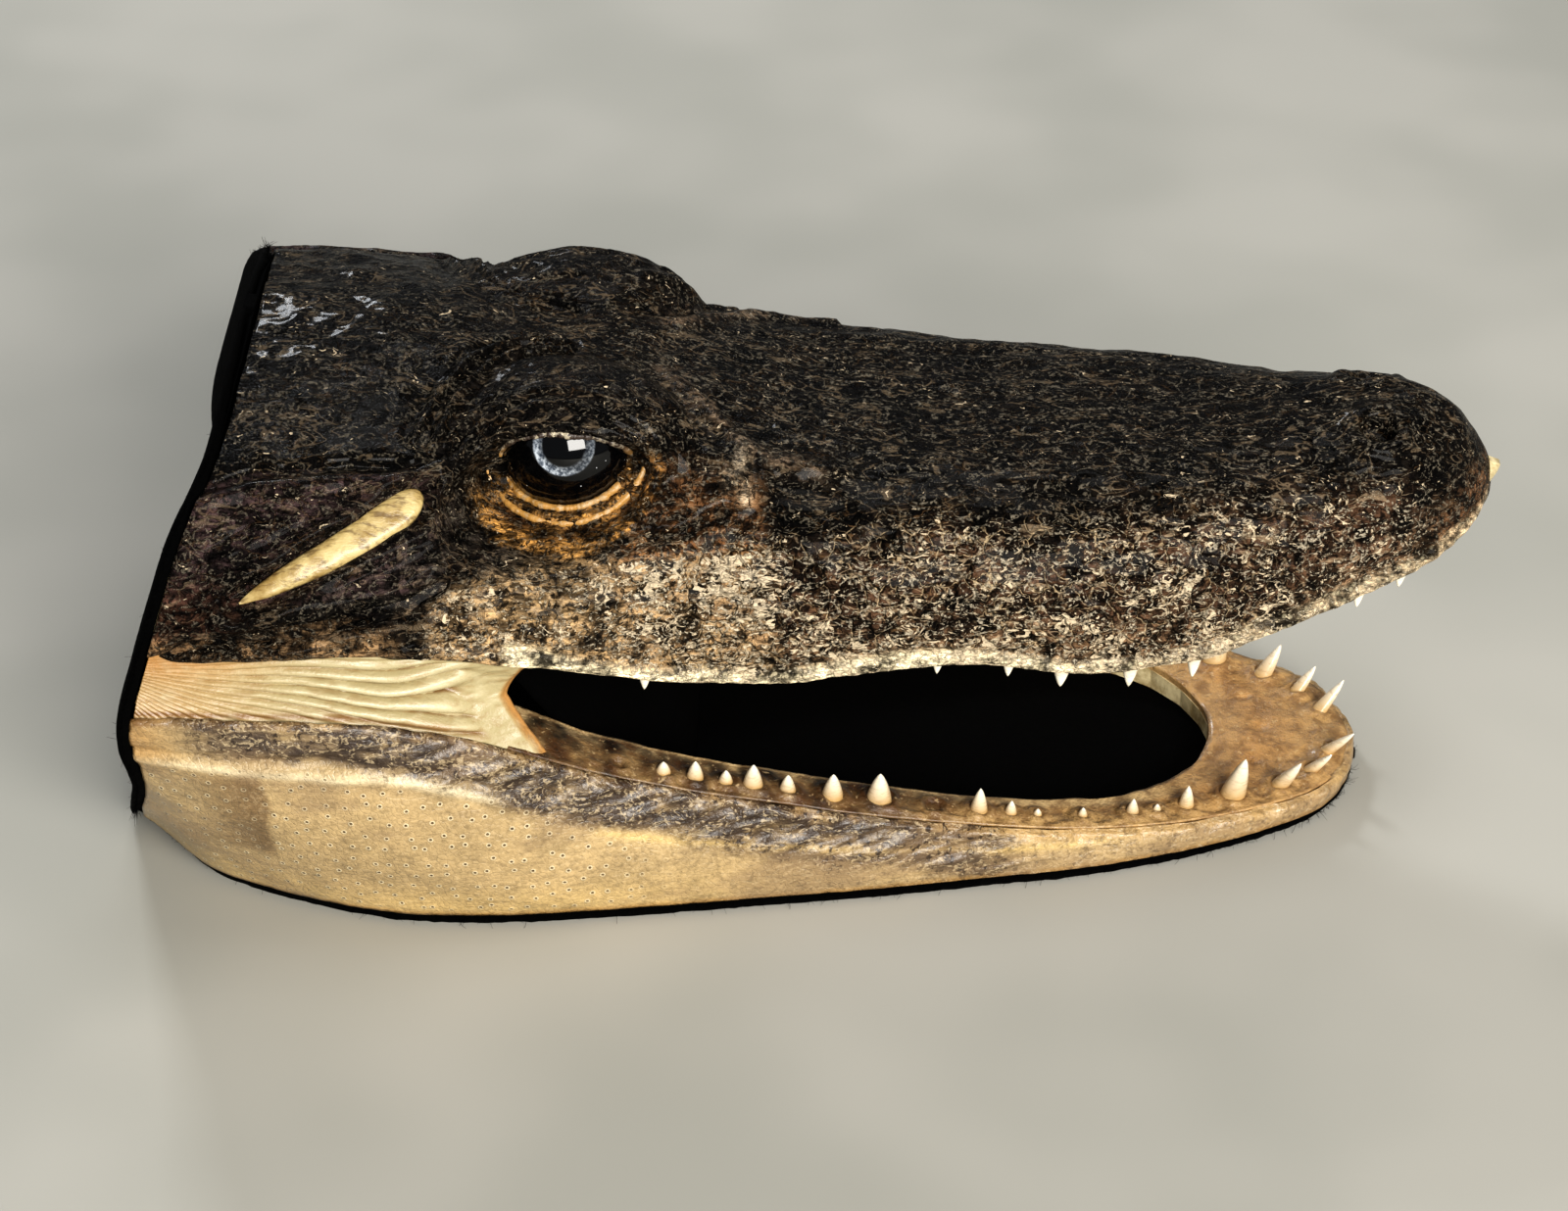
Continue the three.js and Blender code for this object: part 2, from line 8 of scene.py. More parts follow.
import bpy
import numpy as np
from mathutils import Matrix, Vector


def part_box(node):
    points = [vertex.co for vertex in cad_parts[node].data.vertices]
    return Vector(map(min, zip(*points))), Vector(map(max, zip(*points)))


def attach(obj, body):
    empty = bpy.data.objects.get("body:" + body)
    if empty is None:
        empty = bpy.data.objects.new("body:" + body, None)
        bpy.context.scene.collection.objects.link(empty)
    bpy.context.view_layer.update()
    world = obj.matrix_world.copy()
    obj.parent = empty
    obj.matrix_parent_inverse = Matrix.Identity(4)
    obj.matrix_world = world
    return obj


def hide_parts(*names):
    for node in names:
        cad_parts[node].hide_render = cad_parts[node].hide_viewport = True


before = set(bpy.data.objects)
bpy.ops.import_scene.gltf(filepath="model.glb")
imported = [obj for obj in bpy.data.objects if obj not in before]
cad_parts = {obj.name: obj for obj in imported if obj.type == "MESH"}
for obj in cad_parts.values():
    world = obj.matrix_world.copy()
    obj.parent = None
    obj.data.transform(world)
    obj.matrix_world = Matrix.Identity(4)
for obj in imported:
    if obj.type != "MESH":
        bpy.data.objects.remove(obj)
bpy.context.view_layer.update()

# ---------- sizes, in millimetres ----------
NECK_TOP = 142.4  # snout tip to the top of the neck's cut
NECK_LEAN = math.tan(math.radians(15.4))  # how far that cut leans back for each millimetre down
NECK_HEIGHT = 63.5  # the height at which that cut begins
EYE_RADIUS = 7.8
BROW_LENGTH = 28.0

# behind the tip, half width, top height, lip height, squareness of the section
HEAD = np.array([
    [0, 0, 41.5, 41, 2], [1.6, 4.8, 46.4, 39.8, 2], [5, 8.8, 50.4, 37.4, 2.1], [10, 12, 52, 35.4, 2.3],
    [17, 15.2, 51.6, 33.8, 2.5], [26, 18.6, 50.8, 31.9, 2.7], [36, 22.2, 51, 29.8, 2.8],
    [48, 24.5, 51.4, 29.9, 2.9], [62, 25.7, 51.6, 31.8, 3], [74, 26.8, 53, 31, 2.9],
    [85, 27.9, 55.2, 30.2, 2.5], [97, 30, 58.8, 32.2, 1.95], [108, 32.4, 61.4, 35.2, 1.75],
    [120, 34.8, 63, 38, 1.75], [132, 36.6, 63.6, 39.6, 1.8], [146, 37.6, 63.4, 40, 1.8],
    [166, 38, 63, 40, 1.8],
])
# behind the tip, half width at the foot, half width at the rim, rim height
JAW = np.array([
    [12.4, 0, 0, 3.8], [13.4, 5, 4.8, 4], [15.4, 9.2, 9, 4.1], [18.6, 12.7, 12.4, 4.2],
    [24, 15.9, 15.6, 4.4], [35.5, 20.7, 20.3, 5.2], [47.5, 24, 23.5, 6.6], [59, 26, 25.5, 8.6],
    [70.5, 28, 27.5, 11.2], [82, 29.6, 29.1, 14.2], [93.5, 31.2, 30.7, 17.4], [103, 32.4, 32, 20.6],
    [110, 33.2, 33.4, 24], [118.5, 33.6, 35.6, 28.4], [128, 33, 37.2, 31], [140, 29.6, 38, 32],
    [150, 24.8, 38, 32.2], [157, 17.4, 37.4, 32.2], [166, 9, 36.6, 32.2],
])
# behind the tip, half width of the opening between the mandibles
FLOOR = np.array([
    [30.2, 0], [31, 4.2], [33.6, 9], [38, 13.2], [45, 16.6], [59, 19.6], [82, 22.4], [106, 24.6],
    [130, 26.4], [166, 26.6],
])


# ---------- curves and noise ----------
def curve(places, values):
    """A smooth curve through values at rising places, held level past its ends."""
    p, v = np.asarray(places, float), np.asarray(values, float)
    slope = np.gradient(v)
    slope[1:-1] = (v[2:] - v[:-2]) / (p[2:] - p[:-2])
    slope[0], slope[-1] = (v[1] - v[0]) / (p[1] - p[0]), (v[-1] - v[-2]) / (p[-1] - p[-2])

    def at(q):
        q = np.clip(q, p[0], p[-1])
        i = np.clip(np.searchsorted(p, q, side="right") - 1, 0, len(p) - 2)
        span = p[i + 1] - p[i]
        t = (q - p[i]) / span
        return (
            (2 * t**3 - 3 * t**2 + 1) * v[i]
            + (t**3 - 2 * t**2 + t) * span * slope[i]
            + (3 * t**2 - 2 * t**3) * v[i + 1]
            + (t**3 - t**2) * span * slope[i + 1]
        )

    return at


def station(table, column):
    """A column of a table by the distance behind the tip; its square root gives a round nose."""
    start = table[0, 0]
    made = curve(np.sqrt(table[:, 0] - start), table[:, column])
    return lambda behind: made(np.sqrt(np.maximum(behind - start, 0)))


head_half, head_top, head_lip, head_square = (station(HEAD, k) for k in (1, 2, 3, 4))
jaw_foot, jaw_rim, jaw_height = (station(JAW, k) for k in (1, 2, 3))
floor_half = station(FLOOR, 1)


def smooth_step(a, b, x):
    t = np.clip((x - a) / (b - a), 0, 1)
    return t * t * (3 - 2 * t)


def hashed(i, j, k, seed):
    """A fixed random number from 0 to 1 for each whole-number place."""
    h = (i * 374761393 + j * 668265263 + k * 1274126177 + seed * 974634777) & 0xFFFFFFFF
    h = ((h ^ (h >> 13)) * 1103515245) & 0xFFFFFFFF
    return ((h ^ (h >> 16)) & 0xFFFFFF) / 0xFFFFFF


def noise(x, y, z, seed=0):
    """Smooth noise from -1 to 1 whose lumps are one unit wide."""
    x, y, z = np.broadcast_arrays(np.asarray(x, float), y, z)
    cells = [np.floor(a).astype(np.int64) for a in (x, y, z)]
    fx, fy, fz = (a - c for a, c in zip((x, y, z), cells))
    fx, fy, fz = (f * f * (3 - 2 * f) for f in (fx, fy, fz))
    total = 0.0
    for dx in (0, 1):
        for dy in (0, 1):
            for dz in (0, 1):
                share = (fx if dx else 1 - fx) * (fy if dy else 1 - fy) * (fz if dz else 1 - fz)
                total = total + share * hashed(cells[0] + dx, cells[1] + dy, cells[2] + dz, seed)
    return total * 2 - 1


def layered(x, y, z, seed=0, layers=3):
    """Noise with finer and finer layers."""
    return sum(noise(x * 2**n, y * 2**n, z * 2**n, seed + n) * 0.5**n for n in range(layers))


def bump(distance, width):
    return np.exp(-((distance / width) ** 2))


def near(line, u, v):
    """Distance from (u, v) to a polyline, the side it is on, and the share of the line passed, 0 to 1."""
    line = np.asarray(line, float)
    best = np.full(np.shape(u), 1e9)
    side, along = np.zeros(np.shape(u)), np.zeros(np.shape(u))
    lengths = np.hypot(*np.diff(line, axis=0).T)
    total = lengths.sum()
    start = 0.0
    for (au, av), (bu, bv), length in zip(line[:-1], line[1:], lengths):
        du, dv = bu - au, bv - av
        t = np.clip(((u - au) * du + (v - av) * dv) / length**2, 0, 1)
        d = np.hypot(u - au - t * du, v - av - t * dv)
        closer = d < best
        best = np.where(closer, d, best)
        side = np.where(closer, np.sign((u - au) * dv - (v - av) * du), side)
        along = np.where(closer, (start + t * length) / total, along)
        start += length
    return best, side, along


# ---------- the head's outer surface ----------
EYE = dict(behind=106.6, side=12.8, height=53.2)  # the centre of a glass eye
# the slit between the lids, seen square on: forward of the eye's centre, above it
LIDS = [
    (7.3, -0.6), (6.5, 1.0), (5.4, 1.9), (4.0, 2.6), (1, 3.2), (-2.7, 3.1), (-5.6, 2.0), (-7.2, 0.2),
    (-7.6, -1.7), (-7.1, -3.5), (-5.6, -4.9), (-2.7, -5.7), (-0.2, -5.8), (2.7, -5.2), (5.2, -3.9),
    (6.7, -2.3),
]


def lid_reach(angle):
    """How far the slit reaches from the eye's centre line in a direction."""
    lids = np.array(LIDS)
    turn = np.unwrap(np.arctan2(lids[:, 1], lids[:, 0]))
    reach = np.hypot(lids[:, 0], lids[:, 1])
    turns = np.concatenate([turn - 2 * np.pi, turn, turn + 2 * np.pi])
    return curve(turns, np.tile(reach, 3))(np.mod(angle, 2 * np.pi))


def head_section(behind, angle):
    """(y, z) of the bare section in a direction from the middle of the lip line, 0 left, pi right."""
    half, top, lip, n = (f(behind) for f in (head_half, head_top, head_lip, head_square))
    cos, sin = np.cos(angle), np.sin(angle)
    rise = np.maximum(top - lip, 0.3)
    half = np.maximum(half, 0.3)
    reach = (np.abs(cos / half) ** n + np.abs(sin / rise) ** n) ** (-1 / n)
    share = np.clip(1 - ((behind - EYE["behind"]) / (BROW_LENGTH / 2)) ** 2, 0, 1)
    radius = (EYE_RADIUS + 1.5) * np.sqrt(share)
    for side in (1, -1):
        cy, cz = side * EYE["side"], EYE["height"] - lip
        along = cos * cy + sin * cz
        inside = along**2 - (cy**2 + cz**2 - radius**2)
        dome = np.where(inside > 0, along + np.sqrt(np.maximum(inside, 0)), 0)
        soft = 2.2
        mix = np.clip(0.5 + 0.5 * (dome - reach) / soft, 0, 1)
        reach = np.where(dome > 0, reach + (dome - reach) * mix + soft * mix * (1 - mix), reach)
    return reach * cos, lip + reach * sin


def head_grid(count, columns):
    """Rows from the snout tip to the neck's cut, columns from the left lip over the top to the right lip."""
    first = 0.02 + 5.98 * (np.arange(30) / 30) ** 2
    rows = np.concatenate([first, np.linspace(6, NECK_TOP, count - 30)])
    dense = np.linspace(0, np.pi, 1400)
    b = rows[:, None] + 0 * dense[None]
    y, z = head_section(b, dense[None] + 0 * b)
    cut = smooth_step(96, NECK_TOP, b) * NECK_LEAN * (HEAD[-4, 2] - z)
    y, z = head_section(b + cut, dense[None] + 0 * b)
    steps = np.hypot(np.diff(y, axis=1), np.diff(z, axis=1))
    run = np.concatenate([np.zeros((len(rows), 1)), np.cumsum(steps, axis=1)], axis=1)
    angle = np.stack([np.interp(np.linspace(0, r[-1], columns), r, dense) for r in run])
    shift = np.stack([np.interp(a, dense, c) for a, c in zip(angle, cut)])
    behind = rows[:, None] + shift
    y, z = head_section(behind, angle)
    return behind, y, z


# ---------- meshes ----------
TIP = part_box("head_hide")[1][0] * 1000 + 0.05  # the snout tip's place along the head
SIDES = {"left": 1, "right": -1}
BOTH = tuple(SIDES.items())
# how far the neck's cut bows back at its two sides, by height
NECK_BOW = curve([0, 19, 23, 28, 33, 40, 47, 54, 58, 61.5], [0, 0, 0.9, 2.5, 3.1, 2.8, 2.4, 2.1, 1.1, 0])


def neck_cut(z):
    """How far behind the tip the neck's cut lies at a height, before it bows."""
    return NECK_TOP + NECK_LEAN * (NECK_HEIGHT - z)


def located(behind, y, z):
    """Points from distances behind the snout tip, sideways and up, with the neck's sides bowed back."""
    behind, y, z = np.broadcast_arrays(np.asarray(behind, float), y, z)
    cut = neck_cut(z)
    bow = NECK_BOW(z) * smooth_step(cut - 28, cut, behind) * smooth_step(20, 34, np.abs(y))
    return np.stack([TIP - behind - bow, y, z], -1)


def unit(vectors):
    return vectors / np.maximum(np.linalg.norm(vectors, axis=-1, keepdims=True), 1e-9)


def outward(grid):
    """The unit normals of a grid of points whose rows cross its columns facing out."""
    return unit(np.cross(np.gradient(grid, axis=0), np.gradient(grid, axis=1)))


def seam(outer, inner, stride):
    """Many-sided faces that join a fine edge to a coarse one."""
    faces = []
    for k in range(len(inner) - 1):
        fine = outer[k * stride : (k + 1) * stride + 1]
        faces.append([*fine[::-1], inner[k], inner[k + 1]])
    return faces


def solid_mesh(name, points, faces, finish, values=None, colours=None):
    """A smooth-shaded mesh object in metres, with numbers and a colour for each point."""
    mesh = bpy.data.meshes.new(name)
    mesh.from_pydata((points / 1000).tolist(), [], faces)
    mesh.polygons.foreach_set("use_smooth", [True] * len(mesh.polygons))
    for key, numbers in (values or {}).items():
        mesh.attributes.new(key, "FLOAT", "POINT").data.foreach_set("value", numbers.astype(np.float32))
    if colours is not None:
        steep = ((np.maximum(colours, 0) + 0.055) / 1.055) ** 2.4
        linear = np.where(colours <= 0.04045, colours / 12.92, steep)
        rgba = np.concatenate([linear, np.ones((len(linear), 1))], axis=1)
        tint = mesh.attributes.new("tint", "FLOAT_COLOR", "POINT")
        tint.data.foreach_set("color", rgba.astype(np.float32).ravel())
    mesh.materials.append(finish)
    mesh.update()
    made = bpy.data.objects.new(name, mesh)
    bpy.context.scene.collection.objects.link(made)
    return made


def shell(name, outer, depth, finish, values=None, colours=None, stride=8):
    """A closed skin: an outer grid over an inner one, depth below it, with one point in every stride."""
    rows, columns = outer.shape[:2]
    inner = (outer - outward(outer) * depth)[::stride, ::stride]
    index = np.arange(rows * columns).reshape(rows, columns)
    under = rows * columns + np.arange(inner.shape[0] * inner.shape[1]).reshape(inner.shape[:2])

    def quads(grid, turned):
        around = [grid[:-1, :-1], grid[1:, :-1], grid[1:, 1:], grid[:-1, 1:]]
        return np.stack(around[::-1] if turned else around, -1).reshape(-1, 4).tolist()

    faces = quads(index, False) + quads(under, True)
    faces += seam(index[:, 0], under[:, 0], stride)
    faces += seam(index[:, -1][::-1], under[:, -1][::-1], stride)
    faces += seam(index[0][::-1], under[0][::-1], stride)
    faces += seam(index[-1], under[-1], stride)
    points = np.concatenate([outer.reshape(-1, 3), inner.reshape(-1, 3)])

    def both(numbers):
        numbers = np.broadcast_to(numbers, (rows, columns) + np.shape(numbers)[2:])
        low = numbers[::stride, ::stride]
        tail = numbers.shape[2:]
        return np.concatenate([numbers.reshape((-1,) + tail), low.reshape((-1,) + tail)])

    values = {key: both(numbers) for key, numbers in (values or {}).items()}
    return solid_mesh(name, points, faces, finish, values, None if colours is None else both(colours))


def tube(path, radii, sides, closed=False):
    """Points and faces of a tube along a path in space, with rounded tips unless it is closed."""
    path = np.asarray(path, float)
    count = len(path)
    along = unit(np.roll(path, -1, 0) - np.roll(path, 1, 0)) if closed else unit(np.gradient(path, axis=0))
    across = unit(np.cross(along, [0.31, 0.17, 0.93]))
    over = np.cross(along, across)
    turn = np.arange(sides) * 2 * np.pi / sides
    radii = np.broadcast_to(radii, count)
    ring = np.cos(turn)[None, :, None] * across[:, None] + np.sin(turn)[None, :, None] * over[:, None]
    points = (path[:, None] + ring * radii[:, None, None]).reshape(-1, 3)
    index = np.arange(count * sides).reshape(count, sides)
    following = np.roll(index, -1, 0) if closed else index[1:]
    start = index if closed else index[:-1]
    quads = np.stack([start, np.roll(start, -1, 1), np.roll(following, -1, 1), following], -1)
    faces = quads.reshape(-1, 4).tolist()
    if not closed:
        faces += [index[0][::-1].tolist(), index[-1].tolist()]
    return points, faces


def gathered(parts):
    """Several (points, faces) parts as one."""
    points, faces, start = [], [], 0
    for part_points, part_faces in parts:
        points.append(part_points)
        faces += [[start + corner for corner in face] for face in part_faces]
        start += len(part_points)
    return np.concatenate(points), faces


def settle(piece, slot, *nodes):
    """Every piece rides on the head and stands for the nodes it covers; slot is not used."""
    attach(piece, "root")
    if nodes:
        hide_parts(*nodes)
    return piece


def shade(base, colour, amount):
    """A painted coat over a colour, both from 0 to 255."""
    return base + (np.asarray(colour, float) - base) * np.clip(amount, 0, 1)[..., None]


def band(x, low, high, soft):
    """1 between low and high, fading over soft outside them."""
    return smooth_step(low - soft, low, x) * (1 - smooth_step(high, high + soft, x))


# ---------- finishes ----------
class Wire:
    """A socket in a finish, with Python's operators as Math nodes."""

    def __init__(self, finish, socket):
        self.finish, self.socket = finish, socket

    def maths(self, operation, *terms):
        return self.finish.node("Math", {"operation": operation}, dict(enumerate((self, *terms))))

    def __add__(self, other):
        return self.maths("ADD", other)

    def __sub__(self, other):
        return self.maths("SUBTRACT", other)

    def __rsub__(self, other):
        return self.finish.node("Math", {"operation": "SUBTRACT"}, {0: other, 1: self})

    def __mul__(self, other):
        return self.maths("MULTIPLY", other)

    __radd__, __rmul__ = __add__, __mul__


class Finish:
    """A material under construction. Feature sizes are in millimetres."""

    def __init__(self, name):
        self.material = bpy.data.materials.new(name)
        self.material.use_nodes = True
        self.tree = self.material.node_tree
        self.tree.nodes.clear()
        self.place = self.node("TexCoord", output="Object")

    def node(self, kind, settings=None, sockets=None, output=0):
        made = self.tree.nodes.new("ShaderNode" + kind)
        for key, value in (settings or {}).items():
            setattr(made, key, value)
        for key, value in (sockets or {}).items():
            if isinstance(value, Wire):
                self.tree.links.new(value.socket, made.inputs[key])
            elif value is not None:
                made.inputs[key].default_value = value
        return Wire(self, made.outputs[output])

    def painted(self, key):
        return self.node("Attribute", {"attribute_name": key}, output="Fac")

    def tint(self):
        return self.node("Attribute", {"attribute_name": "tint"}, output="Color")

    def shaded_tint(self, light):
        """The painted colour, made lighter or darker by a number."""
        grey = self.node("CombineColor", {}, {0: light, 1: light, 2: light})
        return self.coat(1.0, self.tint(), grey, "MULTIPLY")

    def vectors(self, operation, first, second):
        return self.node("VectorMath", {"operation": operation}, {0: first, 1: second})

    def stretched(self, x, y, z):
        """The place on the object, squeezed so that a pattern on it runs long where a number is small."""
        return self.vectors("MULTIPLY", self.place, (x, y, z))

    def noise(self, size, detail=3.0, rough=0.55, where=None, warp=0.0, output=0):
        sockets = {"Vector": where or self.place, "Scale": 1000 / size, "Detail": detail, "Roughness": rough}
        return self.node("TexNoise", {}, sockets | {"Distortion": warp}, output)

    def cells(self, size, feature="F1", where=None, output="Distance"):
        sockets = {"Vector": where or self.place, "Scale": 1000 / size}
        return self.node("TexVoronoi", {"feature": feature}, sockets, output)

    def rows(self, size):
        """Distances from points strewn evenly over the side, in units of their spacing."""
        x = self.node("SeparateXYZ", {}, {"Vector": self.place}, "X")
        z = self.node("SeparateXYZ", {}, {"Vector": self.place}, "Z")
        side = self.node("CombineXYZ", {}, {"X": x, "Y": z})
        sockets = {"Vector": side, "Scale": 1000 / size, "Randomness": 0.6}
        return self.node("TexVoronoi", {"voronoi_dimensions": "2D"}, sockets, "Distance")

    def squiggle(self, size, width, where=None, warp=1.2):
        """Thin wandering lines."""
        off = (self.noise(size, 2.0, 0.5, where, warp) - 0.5).maths("ABSOLUTE")
        return self.between(off, width, width * 0.35)

    def between(self, value, low, high, start=0.0, end=1.0):
        sockets = {"Value": value, "From Min": low, "From Max": high, "To Min": start, "To Max": end}
        return self.node("MapRange", {"interpolation_type": "SMOOTHSTEP"}, sockets)

    def coat(self, amount, under, over, blend="MIX"):
        """One colour over another."""
        settings = {"data_type": "RGBA", "blend_type": blend}
        under, over = (c if isinstance(c, Wire) else tone(c) for c in (under, over))
        return self.node("Mix", settings, {0: amount, 6: under, 7: over}, output=2)

    def done(self, colour, roughness, relief=None, depth=0.2, **plain):
        """The shader and its output. depth is the height of the relief."""
        sockets = {"Base Color": colour, "Roughness": roughness}
        if relief is not None:
            heights = {"Height": relief, "Distance": depth / 1000, "Strength": 1.0}
            sockets["Normal"] = self.node("Bump", {}, heights)
        for key, value in plain.items():
            sockets[key.replace("_", " ").title().replace("Ior", "IOR")] = value
        shader = self.node("BsdfPrincipled", {}, sockets)
        out = self.tree.nodes.new("ShaderNodeOutputMaterial")
        self.tree.links.new(shader.socket, out.inputs["Surface"])
        return self.material


def tone(colour):
    """A colour given from 0 to 255 as the shader's linear one."""
    shares = [c / 255 for c in colour[:3]]
    return (*(s / 12.92 if s <= 0.04045 else ((s + 0.055) / 1.055) ** 2.4 for s in shares), 1.0)


# ---------- the head's hide ----------
# bare bone behind the eye
STRIP = [(121.6, 53.8), (125.2, 52.5), (129.5, 50.6), (134.6, 48.4), (139.2, 46.2)]
EAR_LINE = [(151, 53.6), (146, 54.8), (140, 56.2), (130, 56.5), (123, 55.9), (118.5, 57)]
DEEP_FOLD = [
    (152, 39.6), (147, 40.4), (142.5, 41.6), (138.5, 42.7), (134, 43.4), (129, 43.6), (124, 44.8),
    (119.5, 46),
]
EYE_CREASE = [
    (119.5, 46.6), (115.5, 48.4), (111, 48.5), (106.8, 48.1), (100, 47.5), (94, 47.8), (88.5, 49.4),
]
CHEEK_SEAM = [(121, 41.5), (112, 44.6), (104, 45.4), (95, 44.8), (86, 44)]
# knobs before the eye: behind the tip, up, size
EYE_KNOBS = [(87.2, 52.6, 1.2), (86.6, 50.4, 0.9), (88.8, 51.4, 0.7), (84.6, 51.6, 0.8)]
EYE_AXIS_TILT = math.radians(13)  # how far the slit between the lids faces up
GAZE_RISE = math.radians(29)  # how far up the painted iris looks


def eye_frame(side):
    """The eye's centre in place, and its forward, upward and outward directions."""
    centre = located(EYE["behind"], side * EYE["side"], EYE["height"])
    out = np.array([0, side * math.cos(EYE_AXIS_TILT), math.sin(EYE_AXIS_TILT)])
    up = np.array([0, -side * math.sin(EYE_AXIS_TILT), math.cos(EYE_AXIS_TILT)])
    return centre, np.array([1.0, 0, 0]), up, out


def lid_distance(points, side):
    """Square on to the eye: distance past the slit's edge, direction round it, and depth."""
    centre, forward, up, out = eye_frame(side)
    rel = points - centre
    u, v, w = rel @ forward, rel @ up, rel @ out
    turn = np.arctan2(v, u)
    facing = (np.sign(points[..., 1]) == side) & (w > -1)
    distance = np.where(facing, np.hypot(u, v) - lid_reach(turn), 99)
    return distance, turn, w


def ball_height(away):
    """How far the ball stands out of its centre plane at a distance from its axis."""
    return np.sqrt(np.maximum((EYE_RADIUS + 0.05) ** 2 - away**2, 1.5))


def tuck_lids(points):
    """Draws the hide down onto each ball round the slit, and behind the ball inside it."""
    for side in (1, -1):
        distance, turn, w = lid_distance(points, side)
        reach = lid_reach(turn)
        rise = 0.35 + 0.75 * np.clip(distance, 0, 1.8) + 2.3 * np.maximum(distance - 1.8, 0)
        pocket = ball_height(reach + np.minimum(distance, 0)) + 0.35 - 2.8 * smooth_step(0.05, 0.8, -distance)
        wanted = np.where(distance > 0, ball_height(reach) + rise, pocket)
        drop = np.where(distance < 12, np.maximum(w - wanted, 0), 0)
        points = points - drop[..., None] * eye_frame(side)[3]
    return points


def head_relief(behind, y, z, up_from_lip):
    """How far the hide stands out from its plain form."""
    across = np.abs(y)
    flank = smooth_step(16, 22, across)
    lift = 0.32 * layered(behind / 8, y / 6, z / 6, 3, 3)
    lift += 0.1 * layered(behind / 2.2, y / 1.6, z / 1.6, 11, 3)
    # long wrinkles along the snout, and knobbly scales on its top
    snout = band(behind, 8, 92, 6)
    lift += 0.17 * snout * layered(behind / 5, y / 1.3, z / 1.3, 21, 2) * (1 - 0.4 * flank)
    ridges = bump(across - 11.5 - 0.05 * behind, 2.2) - 0.6 * bump(across, 5)
    lift += 0.3 * band(behind, 30, 90, 10) * ridges
    # the raised end of the snout with its two nostrils
    mound = np.hypot((behind - 14.5) / 10, across / 9.5)
    lift += 1.0 * np.exp(-(mound**2) * 1.6) + 0.35 * bump(behind - 25.5, 2.2) * bump(across, 11)
    pit = np.hypot((behind - 14.6) / 1.15, (across - 5.6) / 0.85)
    lift += 0.5 * bump(pit - 2.9, 0.8) - 2.4 * (1 - smooth_step(0.7, 2.1, pit))
    # ridges from the eyes down to the snout, with knobs before the eye
    for line, height, width in (
        ([(96, 5), (92, 9), (88, 13.5), (84, 15.6), (76, 16.2)], 0.7, 1.1),
        ([(100, 11), (93.5, 14), (88.5, 17.2)], 0.55, 0.9),
        ([(84, 10), (70, 12.4), (56, 13)], 0.35, 1.4),
    ):
        distance, _, along = near(line, behind, across)
        lift += height * bump(distance, width) * band(along, 0.03, 0.97, 0.03) * smooth_step(48, 51, z)
    for place_behind, place_up, size in EYE_KNOBS:
        lift += 0.6 * bump(np.hypot(behind - place_behind, z - place_up), size) * (across > 12)
    # the hollow between the brows and the rims behind them
    lift -= 0.8 * bump(across, 4.4) * band(behind, 95, 116, 5)
    rims = (
        ([(121, 20), (119, 14.5), (116, 9.5), (112, 6.2), (107, 4.8)], 0.75, 0.5),
        ([(123, 19.5), (120.8, 13.6), (117.4, 8.2), (112.5, 4.7), (107, 3.4)], 0.5, 0.45),
    )
    for line, height, width in rims:
        distance, turned, along = near(line, behind, across)
        wander = 1 + 0.4 * noise(behind / 1.5, y / 1.5, 0, 31)
        lift += (height * bump(distance, width) - 0.45 * bump(distance - 1.0, 0.5)) * wander * (z > 52)
    top = smooth_step(58, 60.5, z) * smooth_step(112, 120, behind)
    groove = bump(behind - 121.5 - 0.1 * across, 1.5)
    lift += top * (0.25 * layered(behind / 3.4, y / 3.4, 0, 41, 2) - 0.5 * groove)
    # the slit of the ear flap
    distance, turned, along = near(EAR_LINE, behind, z)
    ear = flank * smooth_step(0.02, 0.1, along) * (z > 50)
    lift += ear * (0.75 * bump(distance - 0.8, 0.7) * (turned < 0) - 0.85 * bump(distance, 0.42))
    # folds under the eye and the temple
    distance, turned, along = near(DEEP_FOLD, behind, z + 0.5 * noise(behind / 4, 0, 0, 5))
    fold = flank * band(behind, 119, 160, 2)
    lift += fold * (0.85 * bump(distance - 1.9, 1.5) - 1.15 * bump(distance, 0.62))
    distance, turned, along = near(EYE_CREASE, behind, z + 0.3 * noise(behind / 3, 0, 0, 6))
    lift += flank * (0.3 * bump(distance - 1.1, 0.8) - 0.75 * bump(distance, 0.4)) * band(behind, 89, 119, 2)
    distance, turned, along = near(CHEEK_SEAM, behind, z)
    lift += flank * 0.35 * bump(distance, 1.2) * band(behind, 88, 120, 3)
    # strands that run down behind the eye, and fine wrinkles on the jowl
    run = ((behind - 119) * 0.93 - (z - 54.6) * -0.37, (behind - 119) * 0.37 + (z - 54.6) * 0.93)
    strands = flank * band(behind, 113, 142, 3) * band(z, 44.6, 52.4, 1.4)
    lift += strands * 0.32 * layered(run[0] / 6, run[1] / 0.85, 0, 51, 2)
    jowl = flank * band(behind, 122, 155, 4) * (1 - smooth_step(43.6, 46, z))
    lift += jowl * 0.3 * layered(behind / 5, (z + 0.16 * behind) / 0.9, 0, 61, 2)
    # the bed of the bare bone
    distance, _, _ = near(STRIP, behind, z)
    bed = flank * band(behind, 116, 142, 2)
    lift += bed * (0.55 * bump(distance - 2.3, 0.8) - 0.8 * (1 - smooth_step(1, 1.9, distance)))
